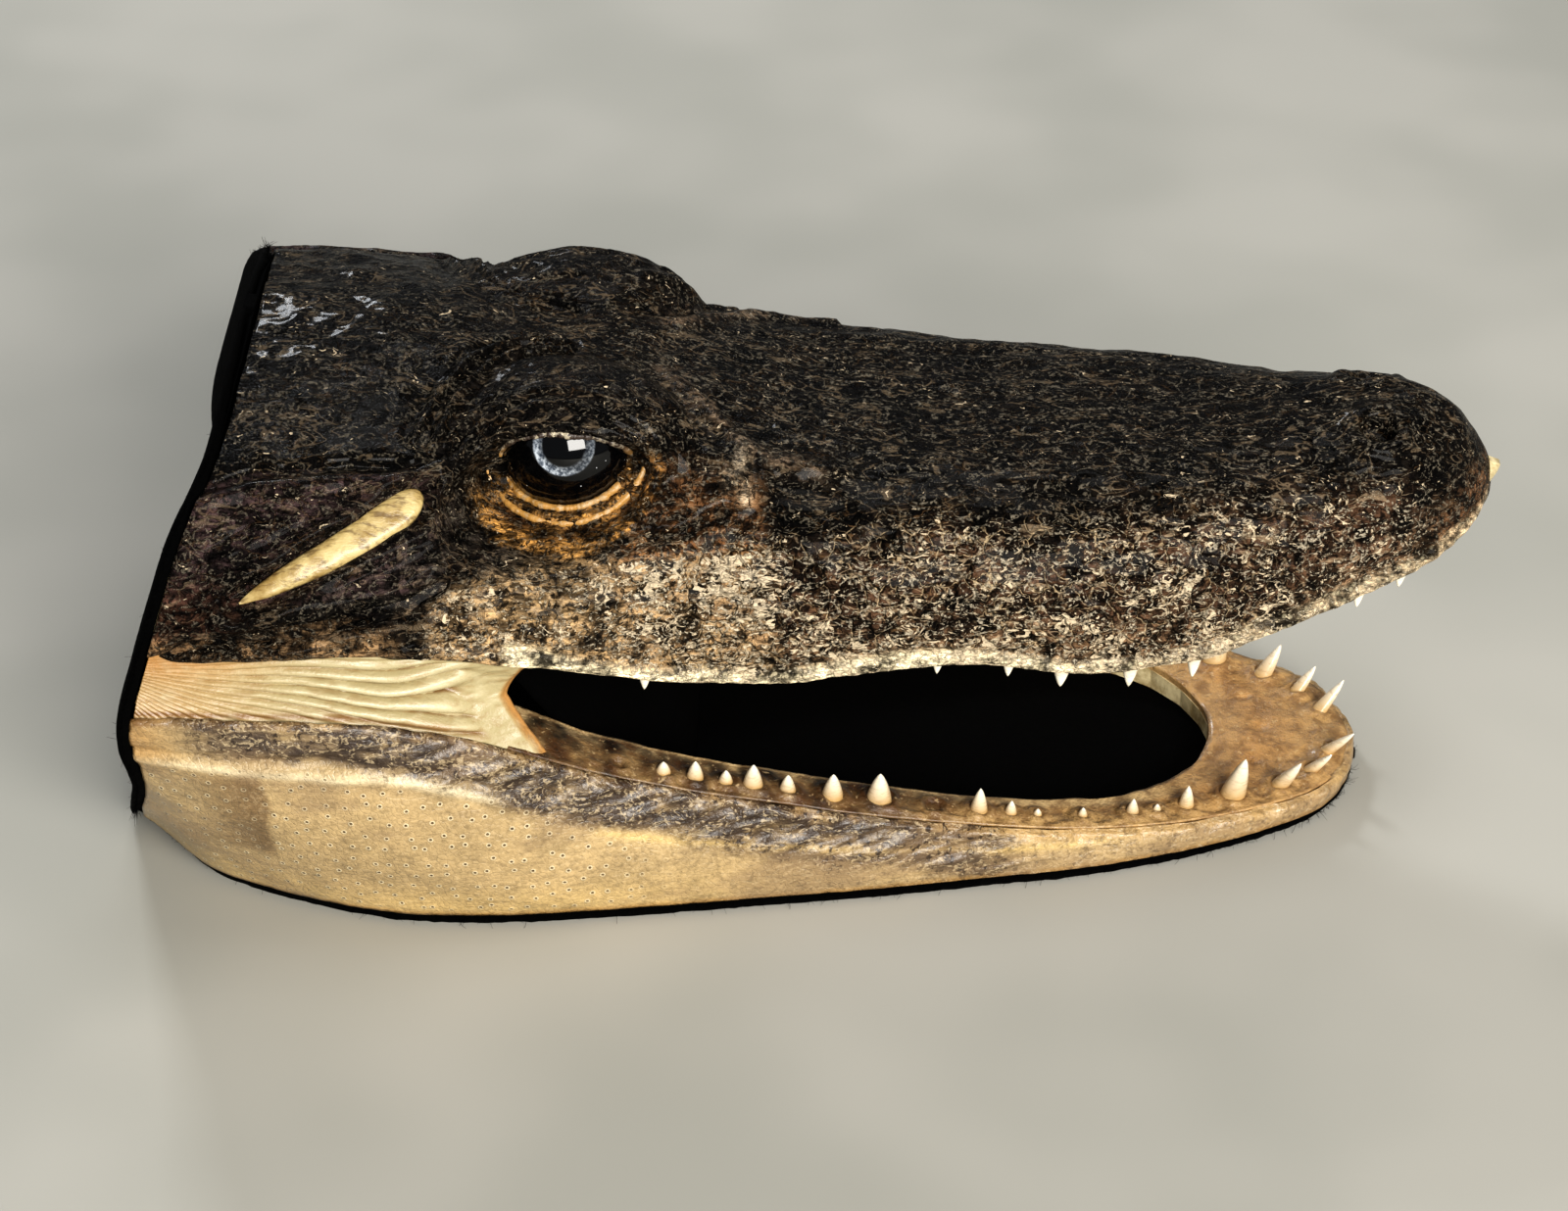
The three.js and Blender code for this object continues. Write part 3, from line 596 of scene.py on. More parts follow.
    # the lip's rolled edge with its row of small scales
    scales = 0.5 + 0.5 * np.cos(behind * 2 * np.pi / 1.9 + 1.3 * noise(behind / 3, 0, 0, 71))
    lift += 0.3 * bump(up_from_lip - 1.1, 0.8) * (0.6 + 0.6 * scales) - 0.22 * bump(up_from_lip - 2.5, 0.5)
    lift -= 0.75 * (1 - smooth_step(0, 0.8, up_from_lip)) ** 2
    return lift


def eye_wrinkles(points):
    """Ridges that run round each eye, and the heavy double rim under it."""
    lift = np.zeros(points.shape[:2])
    for side in (1, -1):
        distance, turn, _ = lid_distance(points, side)
        wobble = noise(points[..., 0] / 3, points[..., 1] / 3, points[..., 2] / 3, 81)
        rings = 0.2 * np.cos(2 * np.pi * distance / 1.2 + 2.2 * wobble) * band(distance, 1, 6, 1.2)
        under = smooth_step(0.3, -0.5, turn) * smooth_step(-3.1, -2.5, turn)
        double = 0.5 * bump(distance - 1.2, 0.5) + 0.5 * bump(distance - 2.9, 0.6)
        double = double - 0.45 * bump(distance - 2.05, 0.35)
        over = smooth_step(0.1, 0.7, turn) * smooth_step(3.1, 2.4, turn)
        lift += rings + under * double + over * 0.4 * bump(distance - 1.3, 0.7)
    return lift


def paint_head(behind, y, z, up_from_lip, points):
    """The hide's colours, and how much fleck, scale edge and bare gloss each place has."""
    across = np.abs(y)
    flank = smooth_step(15, 21, across)
    low = noise(behind / 5, y / 5, z / 5, 91)
    fine = layered(behind / 1.6, y / 1.6, z / 1.6, 95, 2)
    colour = np.zeros(points.shape) + [14.0, 11, 8]
    brown = smooth_step(49.5, 44.5, z + 1.4 * low) * band(behind, 14, 96, 9)
    colour = shade(colour, (84, 61, 45), 0.85 * brown)
    near_lip = 1 - smooth_step(3, 9 + 3 * low, up_from_lip)
    colour = shade(colour, (140, 112, 84), 0.6 * near_lip * band(behind, 3, 118, 5))
    tip = 1 - smooth_step(3, 13, behind + 3 * low)
    colour = shade(colour, (112, 78, 52), 0.7 * tip * (1 - smooth_step(3, 11, up_from_lip)))
    back = smooth_step(110, 119, behind + 2 * low) * smooth_step(54.8, 57, z)
    colour = shade(colour, (7, 6, 5), 0.95 * back)
    colour = shade(colour, (22, 18, 15), 0.6 * band(behind, 88, 116, 6) * smooth_step(55, 58.5, z))
    temple = flank * smooth_step(118, 123, behind) * band(z, 46.5, 55.4, 0.8)
    colour = shade(colour, (62, 48, 48), 0.9 * temple)
    rear = smooth_step(133, 142, behind) * flank * smooth_step(50, 46, z)
    colour = shade(colour, (70, 46, 34), 0.7 * rear)
    jowl = flank * smooth_step(121, 127, behind) * (1 - smooth_step(41.8, 43.8, z + 0.4 * low))
    colour = shade(colour, (150, 120, 86), 0.85 * jowl)
    strands = flank * band(behind, 112, 131, 2) * band(z, 45, 53, 1.5)
    colour = shade(colour, (78, 70, 62), 0.6 * strands * (0.6 + 0.8 * fine))
    tan = flank * band(behind, 85, 119, 4) * band(z, 30, 46.2, 0.9)
    colour = shade(colour, (176, 146, 106), 0.85 * tan * (0.85 + 0.3 * fine))
    before_eye = flank * band(behind, 86, 99, 3) * band(z, 46.5, 54.5, 1.2)
    colour = shade(colour, (122, 84, 52), 0.75 * before_eye)
    distance, _, _ = near([(96, 5), (92, 9), (88, 13.5), (84, 15.6), (78, 16.2)], behind, across)
    colour = shade(colour, (128, 108, 88), 0.65 * bump(distance, 1.3) * (z > 49))
    for place_behind, place_up, size in EYE_KNOBS[:3]:
        spot = bump(np.hypot(behind - place_behind, z - place_up), size) * (across > 12)
        colour = shade(colour, (190, 172, 146), 0.8 * spot)
    # painted shade: the deep fold under the temple and the crease under the eye are darkened along their
    # grooves, where shadow falls
    for line, dark, width in ((DEEP_FOLD, (12, 9, 7), 0.85), (EYE_CREASE, (20, 14, 10), 0.5)):
        distance, _, _ = near(line, behind, z + 0.4 * noise(behind / 4, 0, 0, 5))
        reach = band(behind, 88.5, 160, 1)
        colour = shade(colour, dark, 0.95 * flank * bump(distance, width) * reach)
    for side in (1, -1):
        distance, turn, _ = lid_distance(points, side)
        under = smooth_step(0.35, -0.3, turn) * smooth_step(-3.1, -2.5, turn)
        colour = shade(colour, (182, 134, 72), under * band(distance, -0.6, 3.4, 0.8) * (0.85 + 0.4 * fine))
        colour = shade(colour, (48, 28, 14), 0.85 * under * bump(distance - 2.05, 0.35))
        over = smooth_step(0.1, 0.5, turn) * band(distance, 0.8, 7, 1)
        colour = shade(colour, (24, 20, 17), 0.75 * over)
        # painted highlight: a thin pale arc above each eye, where the brow fold catches the light
        brow_highlight = bump(distance - 10.3 - 0.4 * low, 0.3) * band(turn, 1.3, 2.4, 0.15) * (distance < 20)
        colour = shade(colour, (196, 190, 182), 0.7 * brow_highlight)
        corner = bump(np.abs(np.abs(turn) - np.pi / 2) - np.pi / 2, 0.35) * band(distance, -2, 0.9, 0.6)
        colour = shade(colour, (6, 5, 4), 0.9 * corner)
        colour = shade(colour, (8, 6, 5), 1.0 * (distance < -0.05))
    margin = (1 - smooth_step(1.7, 3.2, up_from_lip + 0.9 * low)) * band(behind, 1.5, 112, 2)
    margin = margin * (0.6 + 0.4 * smooth_step(34, 50, behind))
    colour = shade(colour, (236, 220, 184), 0.97 * margin)
    distance, _, _ = near(STRIP, behind, z)
    colour = shade(colour, (22, 15, 10), 0.8 * bump(distance - 1.9, 0.7) * band(behind, 117, 142, 1) * flank)

    # the snout's top share of fleck is painted glint: pale specks that stand in for the varnish's sparkle,
    # over the real pale flecks
    fleck = 0.06 + 0.5 * brown + 0.05 * snout_top(behind, z) + 0.4 * tan * band(z, 38, 45.6, 0.5)
    fleck += 0.12 * band(behind, 38, 56, 5) * band(z, 38, 47, 2.5) * flank
    fleck += near_lip * (0.1 * brown + 0.08 * band(behind, 4, 100, 4))
    net = flank * band(behind, 12, 92, 7) * smooth_step(50, 46, z) * smooth_step(1.8, 3, up_from_lip)
    gloss = 0.35 + 0.65 * np.maximum(back, snout_top(behind, z)) * (0.8 + 0.4 * fine)
    painted = {"fleck": fleck, "net": net, "gloss": gloss, "margin": margin}
    return np.clip(colour, 0, 255) / 255, {key: np.clip(share, 0, 1) for key, share in painted.items()}


def snout_top(behind, z):
    return band(behind, 4, 100, 6) * smooth_step(47.5, 50, z)


def hide_finish():
    """Varnished hide: scale edges, pale flecks (partly painted glints on the snout's top), fine grain and
    long creases.
    """
    made = Finish("varnished_dark_hide")
    fleck, net, gloss, margin = (made.painted(key) for key in ("fleck", "net", "gloss", "margin"))
    wander = made.vectors("MULTIPLY", made.noise(2.2, 2.0, output="Color"), (0.0022,) * 3)
    bent = made.vectors("ADD", made.place, wander)
    long_bent = made.vectors("MULTIPLY", bent, (0.4, 1, 1))
    cells = made.cells(2.5, "DISTANCE_TO_EDGE", bent)
    small = made.cells(0.95, "DISTANCE_TO_EDGE", bent)
    cracks = made.between(made.cells(1.5, "DISTANCE_TO_EDGE", long_bent), 0.05, 0.012)
    lines = made.between(cells, 0.036, 0.01)
    small_lines = made.between(small, 0.12, 0.02)
    long_creases = made.noise(0.8, 4.0, 0.6, made.stretched(0.22, 1, 1))
    mottle = made.noise(3.4, 5.0, 0.7, warp=0.6)
    patches = made.noise(7.0, 3.0, 0.6)
    grain = made.noise(0.42, 3.0, 0.65)
    scatter = made.noise(1.0, 3.0, 0.62, made.stretched(0.6, 1, 1), 1.6)
    flakes = made.between(scatter + fleck * made.between(patches, 0.44, 0.58, 0.1, 0.24), 0.68, 0.705)
    threads = made.squiggle(1.6, 0.05, made.stretched(0.6, 1, 1)) * made.between(grain, 0.46, 0.54)
    long_threads = made.squiggle(2.8, 0.026, made.stretched(0.45, 1, 1)) * made.between(mottle, 0.45, 0.54)
    pits = made.between(made.noise(1.1, 3.0, 0.62, warp=0.8), 0.49, 0.45)
    beads = made.between(made.cells(0.95), 0.42, 0.2)

    dark = made.between(mottle, 0.38, 0.58, 0.12, 1.45)
    streak = made.between(long_creases, 0.38, 0.6, 0.3, 1.5)
    body = made.shaded_tint(dark * streak)
    spread = made.between(patches, 0.42, 0.6)
    body = made.coat(cracks * spread * (1 - margin) * (net * 0.5 + 0.26 - gloss * 0.18), body, (146, 114, 80))
    body = made.coat(net * lines * made.between(mottle, 0.4, 0.56) * 0.8, body, (206, 182, 144))
    body = made.coat(net * small_lines * 0.3, body, (16, 11, 8))
    body = made.coat(pits * (1 - margin) * 0.85, body, (9, 7, 6))
    body = made.coat(threads * (fleck * 0.9 + 0.08), body, (228, 214, 188))
    body = made.coat(long_threads * (fleck * 0.5 + 0.12), body, (206, 180, 146))
    body = made.coat(flakes * 0.92, body, (228, 208, 176))
    body = made.coat(margin * beads * 0.6, body, (236, 222, 186))
    shine = made.between(grain, 0.3, 0.7, 0.2, 0.46) + (1 - gloss) * 0.2
    lip_scales = margin * made.between(made.cells(0.95), 0.6, 0.1)
    relief = long_creases * 0.7 + grain * 0.34 + made.between(cells, 0.0, 0.14) * (net * 0.5 + 0.1)
    relief = relief + small * 0.3 + flakes * 0.25 - cracks * 0.2 + threads * 0.2 + lip_scales * 0.3
    varnish = {"coat_weight": gloss * 0.1, "coat_roughness": 0.1, "specular_ior_level": 0.06}
    return made.done(body, shine, relief, 1.25, **varnish)


def make_head_skin(finish):
    """The hide over the skull: rows from snout tip to neck, columns from lip to lip over the top."""
    rows_behind, y, z = head_grid(353, 305)
    points = located(rows_behind, y, z)
    steps = np.linalg.norm(np.diff(points, axis=1), axis=-1)
    run = np.concatenate([np.zeros((len(steps), 1)), np.cumsum(steps, axis=1)], axis=1)
    up_from_lip = np.minimum(run, run[:, -1:] - run)
    ring_relief = eye_wrinkles(points)
    relief = head_relief(rows_behind, y, z, up_from_lip) + ring_relief
    centre_line = smooth_step(0, 4, rows_behind)
    out = tuck_lids(points + outward(points) * ((relief - ring_relief) * centre_line)[..., None])
    out = out + outward(out) * (ring_relief * centre_line)[..., None]
    colours, values = paint_head(rows_behind, y, z, up_from_lip, out)
    skin = shell("head_skin", out, 0.6, finish, values, colours)
    return settle(skin, "dark_hide", "head_hide")


# ---------- eyes ----------
def glass_finish():
    """Black glass with a painted blue-grey ring under it."""
    made = Finish("glass_eye")
    angle, around = made.painted("off_gaze"), made.painted("round_gaze")
    fibres = made.noise(0.45, 3.0, 0.7)
    ring = made.between(angle, 16.5, 18.5) * made.between(angle, 26.5, 24.5)
    bright = made.between(angle, 16, 24, 0.25, 1.0) * made.between(fibres, 0.3, 0.65, 0.45, 1.15)
    ring = ring * bright * around
    iris = made.coat(made.between(fibres, 0.35, 0.7), (92, 104, 122), (214, 222, 230))
    specks = made.between(made.cells(1.5), 0.07, 0.03) * made.between(angle, 27, 34)
    body = made.coat(ring, (3, 3, 4), iris)
    body = made.coat(specks * 0.8, body, (220, 222, 224))
    return made.done(body, 0.05, coat_weight=0.3, coat_roughness=0.02, specular_ior_level=0.3)


def lid_finish():
    """Dried lid margin: brown, with ragged pale scales."""
    made = Finish("lid_margin")
    flakes = made.between(made.noise(0.8, 4.0, 0.7), 0.5, 0.6)
    body = made.coat(flakes * made.painted("pale"), made.tint(), (206, 194, 168))
    return made.done(body, 0.42, made.noise(0.5, 3.0, 0.6), 0.2, coat_weight=0.2, coat_roughness=0.3)


def make_eye(name, side, finish):
    """A glass ball with the iris marked by its angle from the gaze."""
    centre = eye_frame(side)[0]
    gaze = unit(np.array([0, side * math.cos(GAZE_RISE), math.sin(GAZE_RISE)]))
    over = unit(np.array([0, 0, 1]) - gaze * gaze[2])
    ahead = np.cross(over, gaze)
    rings, spokes = 72, 112
    lean = np.linspace(0, np.pi, rings + 1)[1:-1, None]
    turn = np.arange(spokes)[None] * 2 * np.pi / spokes
    cornea = 0.35 * bump(lean, 0.5)
    size = (EYE_RADIUS + cornea - 0.02)[..., None]
    way = (
        np.cos(lean)[..., None] * gaze
        + (np.sin(lean) * np.cos(turn))[..., None] * ahead
        + (np.sin(lean) * np.sin(turn))[..., None] * over
    )
    poles = [centre + gaze * size[0, 0], centre - gaze * EYE_RADIUS]
    points = np.concatenate([(centre + way * size).reshape(-1, 3), poles])
    index = np.arange((rings - 1) * spokes).reshape(rings - 1, spokes)
    right = np.roll(index, -1, 1)
    faces = np.stack([index[:-1], index[1:], right[1:], right[:-1]], -1).reshape(-1, 4)
    caps = [[len(points) - 2, a, b] for a, b in zip(index[0], right[0])]
    caps += [[len(points) - 1, b, a] for a, b in zip(index[-1], right[-1])]
    flip = -1 if np.cross(ahead, over) @ gaze < 0 else 1
    faces = [list(face)[::flip] for face in faces.tolist() + caps]
    back = 0.3 + 0.7 * np.clip(-np.cos(turn) * 0.9 - np.sin(turn) * 0.5, 0, 1) + 0 * lean
    values = {
        "off_gaze": np.append(np.degrees(lean + 0 * turn), [0, 180]),
        "round_gaze": np.append(back, [0, 0]),
    }
    return settle(solid_mesh(name + "_eye", points, faces, finish, values), "eye_glass", name + "_glass_eye")


def make_lids(name, side, finish):
    """The lids' crisp margin, a closed roll of dried skin lying on the ball, and a second roll under it."""
    centre, forward, up, out = eye_frame(side)
    turn = np.linspace(0, 2 * np.pi, 240, endpoint=False)
    parts, tints, pale = [], [], []
    for gap, girth, low, high in ((0.1, 0.42, -4, 7), (1.5, 0.42, np.pi + 0.15, 2 * np.pi + 0.1)):
        kept = turn[(turn > low) & (turn < high)]
        reach = lid_reach(kept)
        away = reach + gap
        ragged = 0.16 * noise(kept * 9, side, gap, 7) + 0.12 * noise(kept * 26, side, gap, 8)
        height = ball_height(reach) + 0.3 + 0.75 * gap + 0.5 * ragged
        flat = (away * np.cos(kept))[:, None] * forward + (away * np.sin(kept))[:, None] * up
        path = centre + flat + height[:, None] * out
        closed = len(kept) == len(turn)
        ends = np.minimum(kept - kept[0], kept[-1] - kept)
        fade = np.ones(len(kept)) if closed else np.sqrt(np.clip(ends * 3, 0.02, 1))
        parts.append(tube(path, girth * (1 + ragged) * fade, 10, closed))
        upper = smooth_step(-0.1, 0.3, np.sin(kept))
        ring = shade(np.zeros((len(kept), 3)) + [186.0, 140, 74], (58, 46, 38), upper)
        tints.append(np.repeat(ring, 10, axis=0))
        pale.append(np.repeat(0.35 + 0.6 * upper * bump(kept - 1.75, 0.75), 10))
    points, faces = gathered(parts)
    piece = solid_mesh(
        name + "_lids", points, faces, finish, {"pale": np.concatenate(pale)}, np.concatenate(tints) / 255
    )
    return settle(piece, "dark_hide")


# ---------- bare bone behind the eyes ----------
def bone_finish():
    """Yellowed bare bone with long brown cracks and a waxy shine."""
    made = Finish("bare_bone")
    cracks = made.noise(0.7, 4.0, 0.65, made.stretched(0.25, 1, 0.6))
    stain = made.noise(2.6, 3.0, 0.6)
    body = made.coat(made.between(stain, 0.35, 0.65), (150, 124, 72), (200, 178, 122))
    body = made.coat(made.between(cracks, 0.5, 0.36) * 0.7, body, (88, 64, 34))
    shine = made.between(stain, 0.3, 0.7, 0.3, 0.45)
    return made.done(body, shine, cracks, 0.22, coat_weight=0.3, coat_roughness=0.2)


def make_strip(name, side, finish):
    """A splint of bone that follows the side of the head, pointed at its lower end."""
    places = np.array(STRIP)
    run = np.append(0, np.cumsum(np.hypot(*np.diff(places, axis=0).T)))
    share = np.linspace(0, 1, 73)
    behind = curve(run, places[:, 0])(share * run[-1])
    height = curve(run, places[:, 1])(share * run[-1])
    blunt = np.sqrt(np.clip(1 - np.clip(1 - share / 0.16, 0, 1) ** 2, 0.01, 1))
    half = 1.6 * blunt * np.clip(1 - share**2.6, 0.01, 1) ** 0.6
    slope = np.stack([np.gradient(height), -np.gradient(behind)], -1)
    slope /= np.linalg.norm(slope, axis=1, keepdims=True)
    across = np.linspace(-1, 1, 17)
    b = behind[:, None] + slope[:, :1] * across * half[:, None]
    z = height[:, None] + slope[:, 1:] * across * half[:, None]
    lip, top, width, power = head_lip(b), head_top(b), head_half(b), head_square(b)
    y = width * np.clip(1 - ((z - lip) / (top - lip)) ** power, 0, 1) ** (1 / power)
    plain = located(b, side * y, z)
    out = outward(plain)
    out *= np.sign(out[..., 1:2]) * side
    crown = 0.6 * np.clip(1 - across**4, 0, 1) * np.clip(half / 1.2, 0, 1)[:, None] - 0.3
    crown += 0.08 * layered(b / 3, z / 0.9, 0, 13, 2)
    grid = plain + out * crown[..., None]
    grid = grid if (outward(grid)[..., 1].mean() * side) > 0 else grid[:, ::-1]
    return settle(shell(name + "_bare_bone", grid, 0.5, finish), "bone", name + "_bone_strip")


# ---------- the lower jaw ----------
PAD_TOP = 1.3


def neck_back(rim_height, z):
    """How far the neck's cut runs back from a rim down to z."""
    return NECK_LEAN * (rim_height - z)


def outline(start, end, half_at, count):
    """Places along a U-shaped outline from the left rear round its front to the right rear, evenly spaced."""
    share = np.linspace(0, 1, 4000)
    behind = end - (end - start) * np.sin(share * np.pi / 2)
    y = half_at(behind)
    run = np.append(0, np.cumsum(np.hypot(np.diff(behind), np.diff(y))))
    even = np.linspace(-run[-1], run[-1], count)
    return np.interp(run[-1] - np.abs(even), run, behind), np.sign(-even)


def pale_hide_finish():
    """Cream jaw hide: pores with pale rims, fine creases, brown stains and flecks."""
    made = Finish("pale_jaw_hide")
    pores, fleck, crease = (made.painted(key) for key in ("pores", "fleck", "crease"))
    spacing = made.rows(2.2)
    ring = made.between(spacing, 0.17, 0.13) * made.between(spacing, 0.07, 0.09)
    dot = made.between(spacing, 0.075, 0.045)
    cloud = made.noise(6.0, 4.0, 0.6)
    creases = made.noise(0.75, 4.0, 0.62, made.stretched(0.2, 1, 1))
    grain = made.noise(0.5, 3.0, 0.65)
    mesh = made.cells(0.8, "DISTANCE_TO_EDGE")
    flakes = made.between(made.noise(1.3, 5.0, 0.72, made.stretched(0.6, 1, 1), 0.8), 0.58, 0.66)
    light = made.between(cloud, 0.3, 0.7, 0.84, 1.12) * made.between(grain, 0.25, 0.75, 0.84, 1.14)
    body = made.shaded_tint(light)
    body = made.coat(made.between(creases, 0.5, 0.34) * (crease * 0.75 + 0.08), body, (52, 38, 28))
    body = made.coat(made.between(creases, 0.55, 0.7) * crease * 0.25, body, (205, 184, 146))
    body = made.coat(fleck * flakes * 0.9, body, (232, 216, 184))
    body = made.coat(pores * ring * 0.55, body, (240, 226, 190))
    body = made.coat(pores * dot * 0.85, body, (70, 50, 30))
    pits = made.between(made.noise(0.9, 4.0, 0.7), 0.46, 0.39)
    threads = made.squiggle(1.5, 0.045, made.stretched(0.5, 1, 1)) * made.between(grain, 0.45, 0.55)
    smear = made.between(made.noise(9.0, 4.0, 0.6, made.stretched(0.4, 1, 1)), 0.5, 0.66)
    body = made.coat(smear * 0.5, body, (140, 116, 88))
    body = made.coat(pits * (crease * 0.8 + 0.12), body, (44, 30, 20))
    body = made.coat(threads * (crease * 0.4 + 0.1), body, (214, 192, 154))
    shine = made.between(grain, 0.3, 0.7, 0.3, 0.5)
    relief = grain * 0.25 + made.between(mesh, 0.0, 0.15) * 0.12 + creases * (crease * 0.6 + 0.1)
    relief = relief - dot * pores * 0.5 + ring * pores * 0.15
    return made.done(body, shine, relief, 0.3, coat_weight=0.22, coat_roughness=0.25)


def jaw_side(behind, share):
    """The jaw's half width at a share of its height."""
    height = jaw_height(behind)
    swell = 0.085 * height * np.sin(np.pi * share)
    return jaw_foot(behind) + (jaw_rim(behind) - jaw_foot(behind)) * share + swell


def rim_tone(behind, fine):
    """The colour where hide and gum meet along the rim: tan in front, nearly black by the rear teeth."""
    tone_here = np.zeros(np.shape(behind) + (3,)) + [192.0, 158, 106]
    return shade(tone_here, (70, 52, 36), 0.9 * smooth_step(56, 72, behind) * (0.75 + 0.5 * fine))


def paint_jaw(behind, z, height):
    """The jaw hide's colours: cream low down, dark and wrinkled along the top, stained near the neck."""
    low = noise(behind / 7, z / 4, 0, 17)
    fine = layered(behind / 2, z / 1.2, 0, 18, 3)
    down = height - z
    colour = np.zeros(behind.shape + (3,)) + [184.0, 158, 114]
    colour = shade(colour, (206, 176, 118), 0.8 * smooth_step(9, 2, z) * smooth_step(60, 110, behind))
    colour = shade(colour, (170, 144, 104), 0.7 * smooth_step(105, 60, behind + 6 * low))
    colour = shade(colour, (158, 128, 88), 0.5 * smooth_step(45, 20, behind))
    wrinkled = band(behind, 60, 118, 7) * (1 - smooth_step(3.6, 7.6, down + 1.8 * low))
    colour = shade(colour, (54, 40, 28), 0.98 * wrinkled * (0.85 + 0.5 * fine))
    grey = band(behind, 119, 142, 6) * (1 - smooth_step(4.2, 6.2, down + 0.9 * low))
    colour = shade(colour, (62, 50, 42), 0.95 * grey * (0.85 + 0.5 * fine))
    ridge = band(behind, 46, 100, 6) * bump(down - 0.35 * (behind - 46) * 0.28 - 1.4, 0.55)
    colour = shade(colour, (222, 190, 122), 0.55 * ridge)
    rim = 1 - smooth_step(0.3, 1.5, down + 0.3 * low)
    colour = shade(colour, rim_tone(behind, fine), 0.9 * rim)
    smudge = smooth_step(139.6, 140.6, behind + 0.5 * low) * (1 - smooth_step(141, 150, behind))
    smudge = smudge * band(z, 12, 23.5, 2.5)
    colour = shade(colour, (112, 88, 58), 0.75 * smudge)
    white = bump(down - 6.6 - 0.6 * low, 0.6) * band(behind, 116, 152, 3)
    colour = shade(colour, (236, 222, 188), 0.75 * white)
    rear = smooth_step(145, 153, behind) * smooth_step(22, 28, z)
    colour = shade(colour, (168, 122, 66), 0.6 * rear)
    foot = 1 - smooth_step(PAD_TOP + 0.1, PAD_TOP + 1.1, z)
    colour = shade(colour, (150, 108, 52), 0.55 * foot)
    pores = smooth_step(5, 8.5, down) * smooth_step(92, 106, behind)
    fleck = (0.6 - 0.4 * wrinkled) * band(behind, 20, 112, 8)
    crease = 0.9 * wrinkled + 0.9 * grey + 0.2 * (1 - smooth_step(60, 100, behind))
    values = {
        "pores": pores * (1 - 0.6 * smudge) * band(z, 3, 40, 1),
        "fleck": fleck * (1 - smooth_step(4, 10, down)) + 0.9 * white,
        "crease": np.clip(crease + 0.12, 0, 1),
    }
    return np.clip(colour, 0, 255) / 255, values


def make_jaw_skin(finish):
    """The lower jaw's hide, one band from the left of the neck round the chin to the right, foot to rim."""
    share = np.linspace(0, 1, 65)[:, None]
    behind, side = outline(12.42, 151, lambda b: jaw_side(b, 0.6), 769)
    height = jaw_height(behind)[None]
    z = PAD_TOP + (height - PAD_TOP) * share
    place = behind[None] + smooth_step(112, 151, behind)[None] * neck_back(32.2, z)
    y = side[None] * jaw_side(place, (z - PAD_TOP) / (height - PAD_TOP) * (1 - 0.03) + 0.03)
    grid = located(place, y, z)
    down = height - z
    lift = 0.3 * layered(place / 9, y / 7, z / 6, 27, 2) * smooth_step(0, 3, z - PAD_TOP)
    wrinkled = band(place, 58, 118, 9) * (1 - smooth_step(3, 8, down))
    wrinkled = wrinkled + band(place, 119, 146, 6) * bump(down - 4.5, 2.6)
    lift += 0.34 * wrinkled * layered(place / 6, (z + 0.2 * place) / 0.95, 0, 28, 2)
    lift += 0.07 * layered(place / 1.6, y / 1.6, z / 1.6, 29, 2)
    lift += 0.3 * bump(down - 6.6, 0.8) * band(place, 114, 154, 3)
    lift -= 0.4 * bump(down - 5, 0.6) * band(place, 116, 154, 3)
    lift += 0.4 * (1 - smooth_step(0.4, 2.2, down)) * layered(place / 1.7, y / 1.7, z / 1.7, 30, 2)
    lift -= 0.5 * (1 - smooth_step(0, 0.9, down)) ** 2
    for tooth_behind, _, _, radius in LOWER_TEETH:
        lift += 0.28 * bump(np.hypot(place - tooth_behind, down - 0.6), 1.2 * radius + 0.5)
    front = smooth_step(12.4, 14, behind)[None]
    grid = grid + outward(grid) * (lift * (0.3 + 0.7 * front))[..., None]
    grid[..., 2] = np.maximum(grid[..., 2], PAD_TOP)
    colours, values = paint_jaw(place, z, height)
    return settle(shell("jaw_skin", grid, 0.9, finish, values, colours), "pale_hide", "jaw_hide")


# behind the tip, out from the middle, height over the rim, root radius; the same row on each side
LOWER_TEETH = [
    (16.2, 4.2, 3.6, 0.95), (18.6, 8.1, 2.6, 0.9), (22.6, 11.2, 3.4, 1.1), (28.6, 13.7, 5, 1.5),
    (34.4, 16.5, 2.6, 0.9), (41, 18.8, 1.8, 0.75), (59.4, 22.4, 2.9, 1), (71.2, 24, 3.4, 1.45),
    (76.6, 25, 2.7, 1.2), (81.8, 26, 2, 0.95), (85.8, 26.4, 2.6, 1.15), (92.4, 27.4, 2, 0.95),
]
# behind the tip, out from the middle, drop under the lip, root radius
UPPER_TEETH = [
    (11, 9.1, 1.3, 0.9), (16, 11.4, 1.5, 0.9), (35.2, 18.6, 2.3, 1.05), (42.6, 20.3, 2.2, 1.15),
    (50.5, 21.4, 2.1, 1.2), (56.6, 22.1, 1.3, 0.9), (64.7, 22.7, 1.2, 0.85), (97.7, 26.9, 1.3, 0.9),
]
# small extra lower teeth and empty sockets, on both sides
LATE_TEETH = [
    (38, 17.9, 0.9, 0.5), (47, 20.4, 1.1, 0.55), (52.4, 21.4, 0.8, 0.5), (55.6, 21.9, 1.8, 0.7),
    (88.9, 26.9, 1.6, 0.8), (96, 28, 1.5, 0.85),
]
EMPTY_SOCKETS = [(64.8, 23.2, 1.2), (101, 28.6, 0.9)]


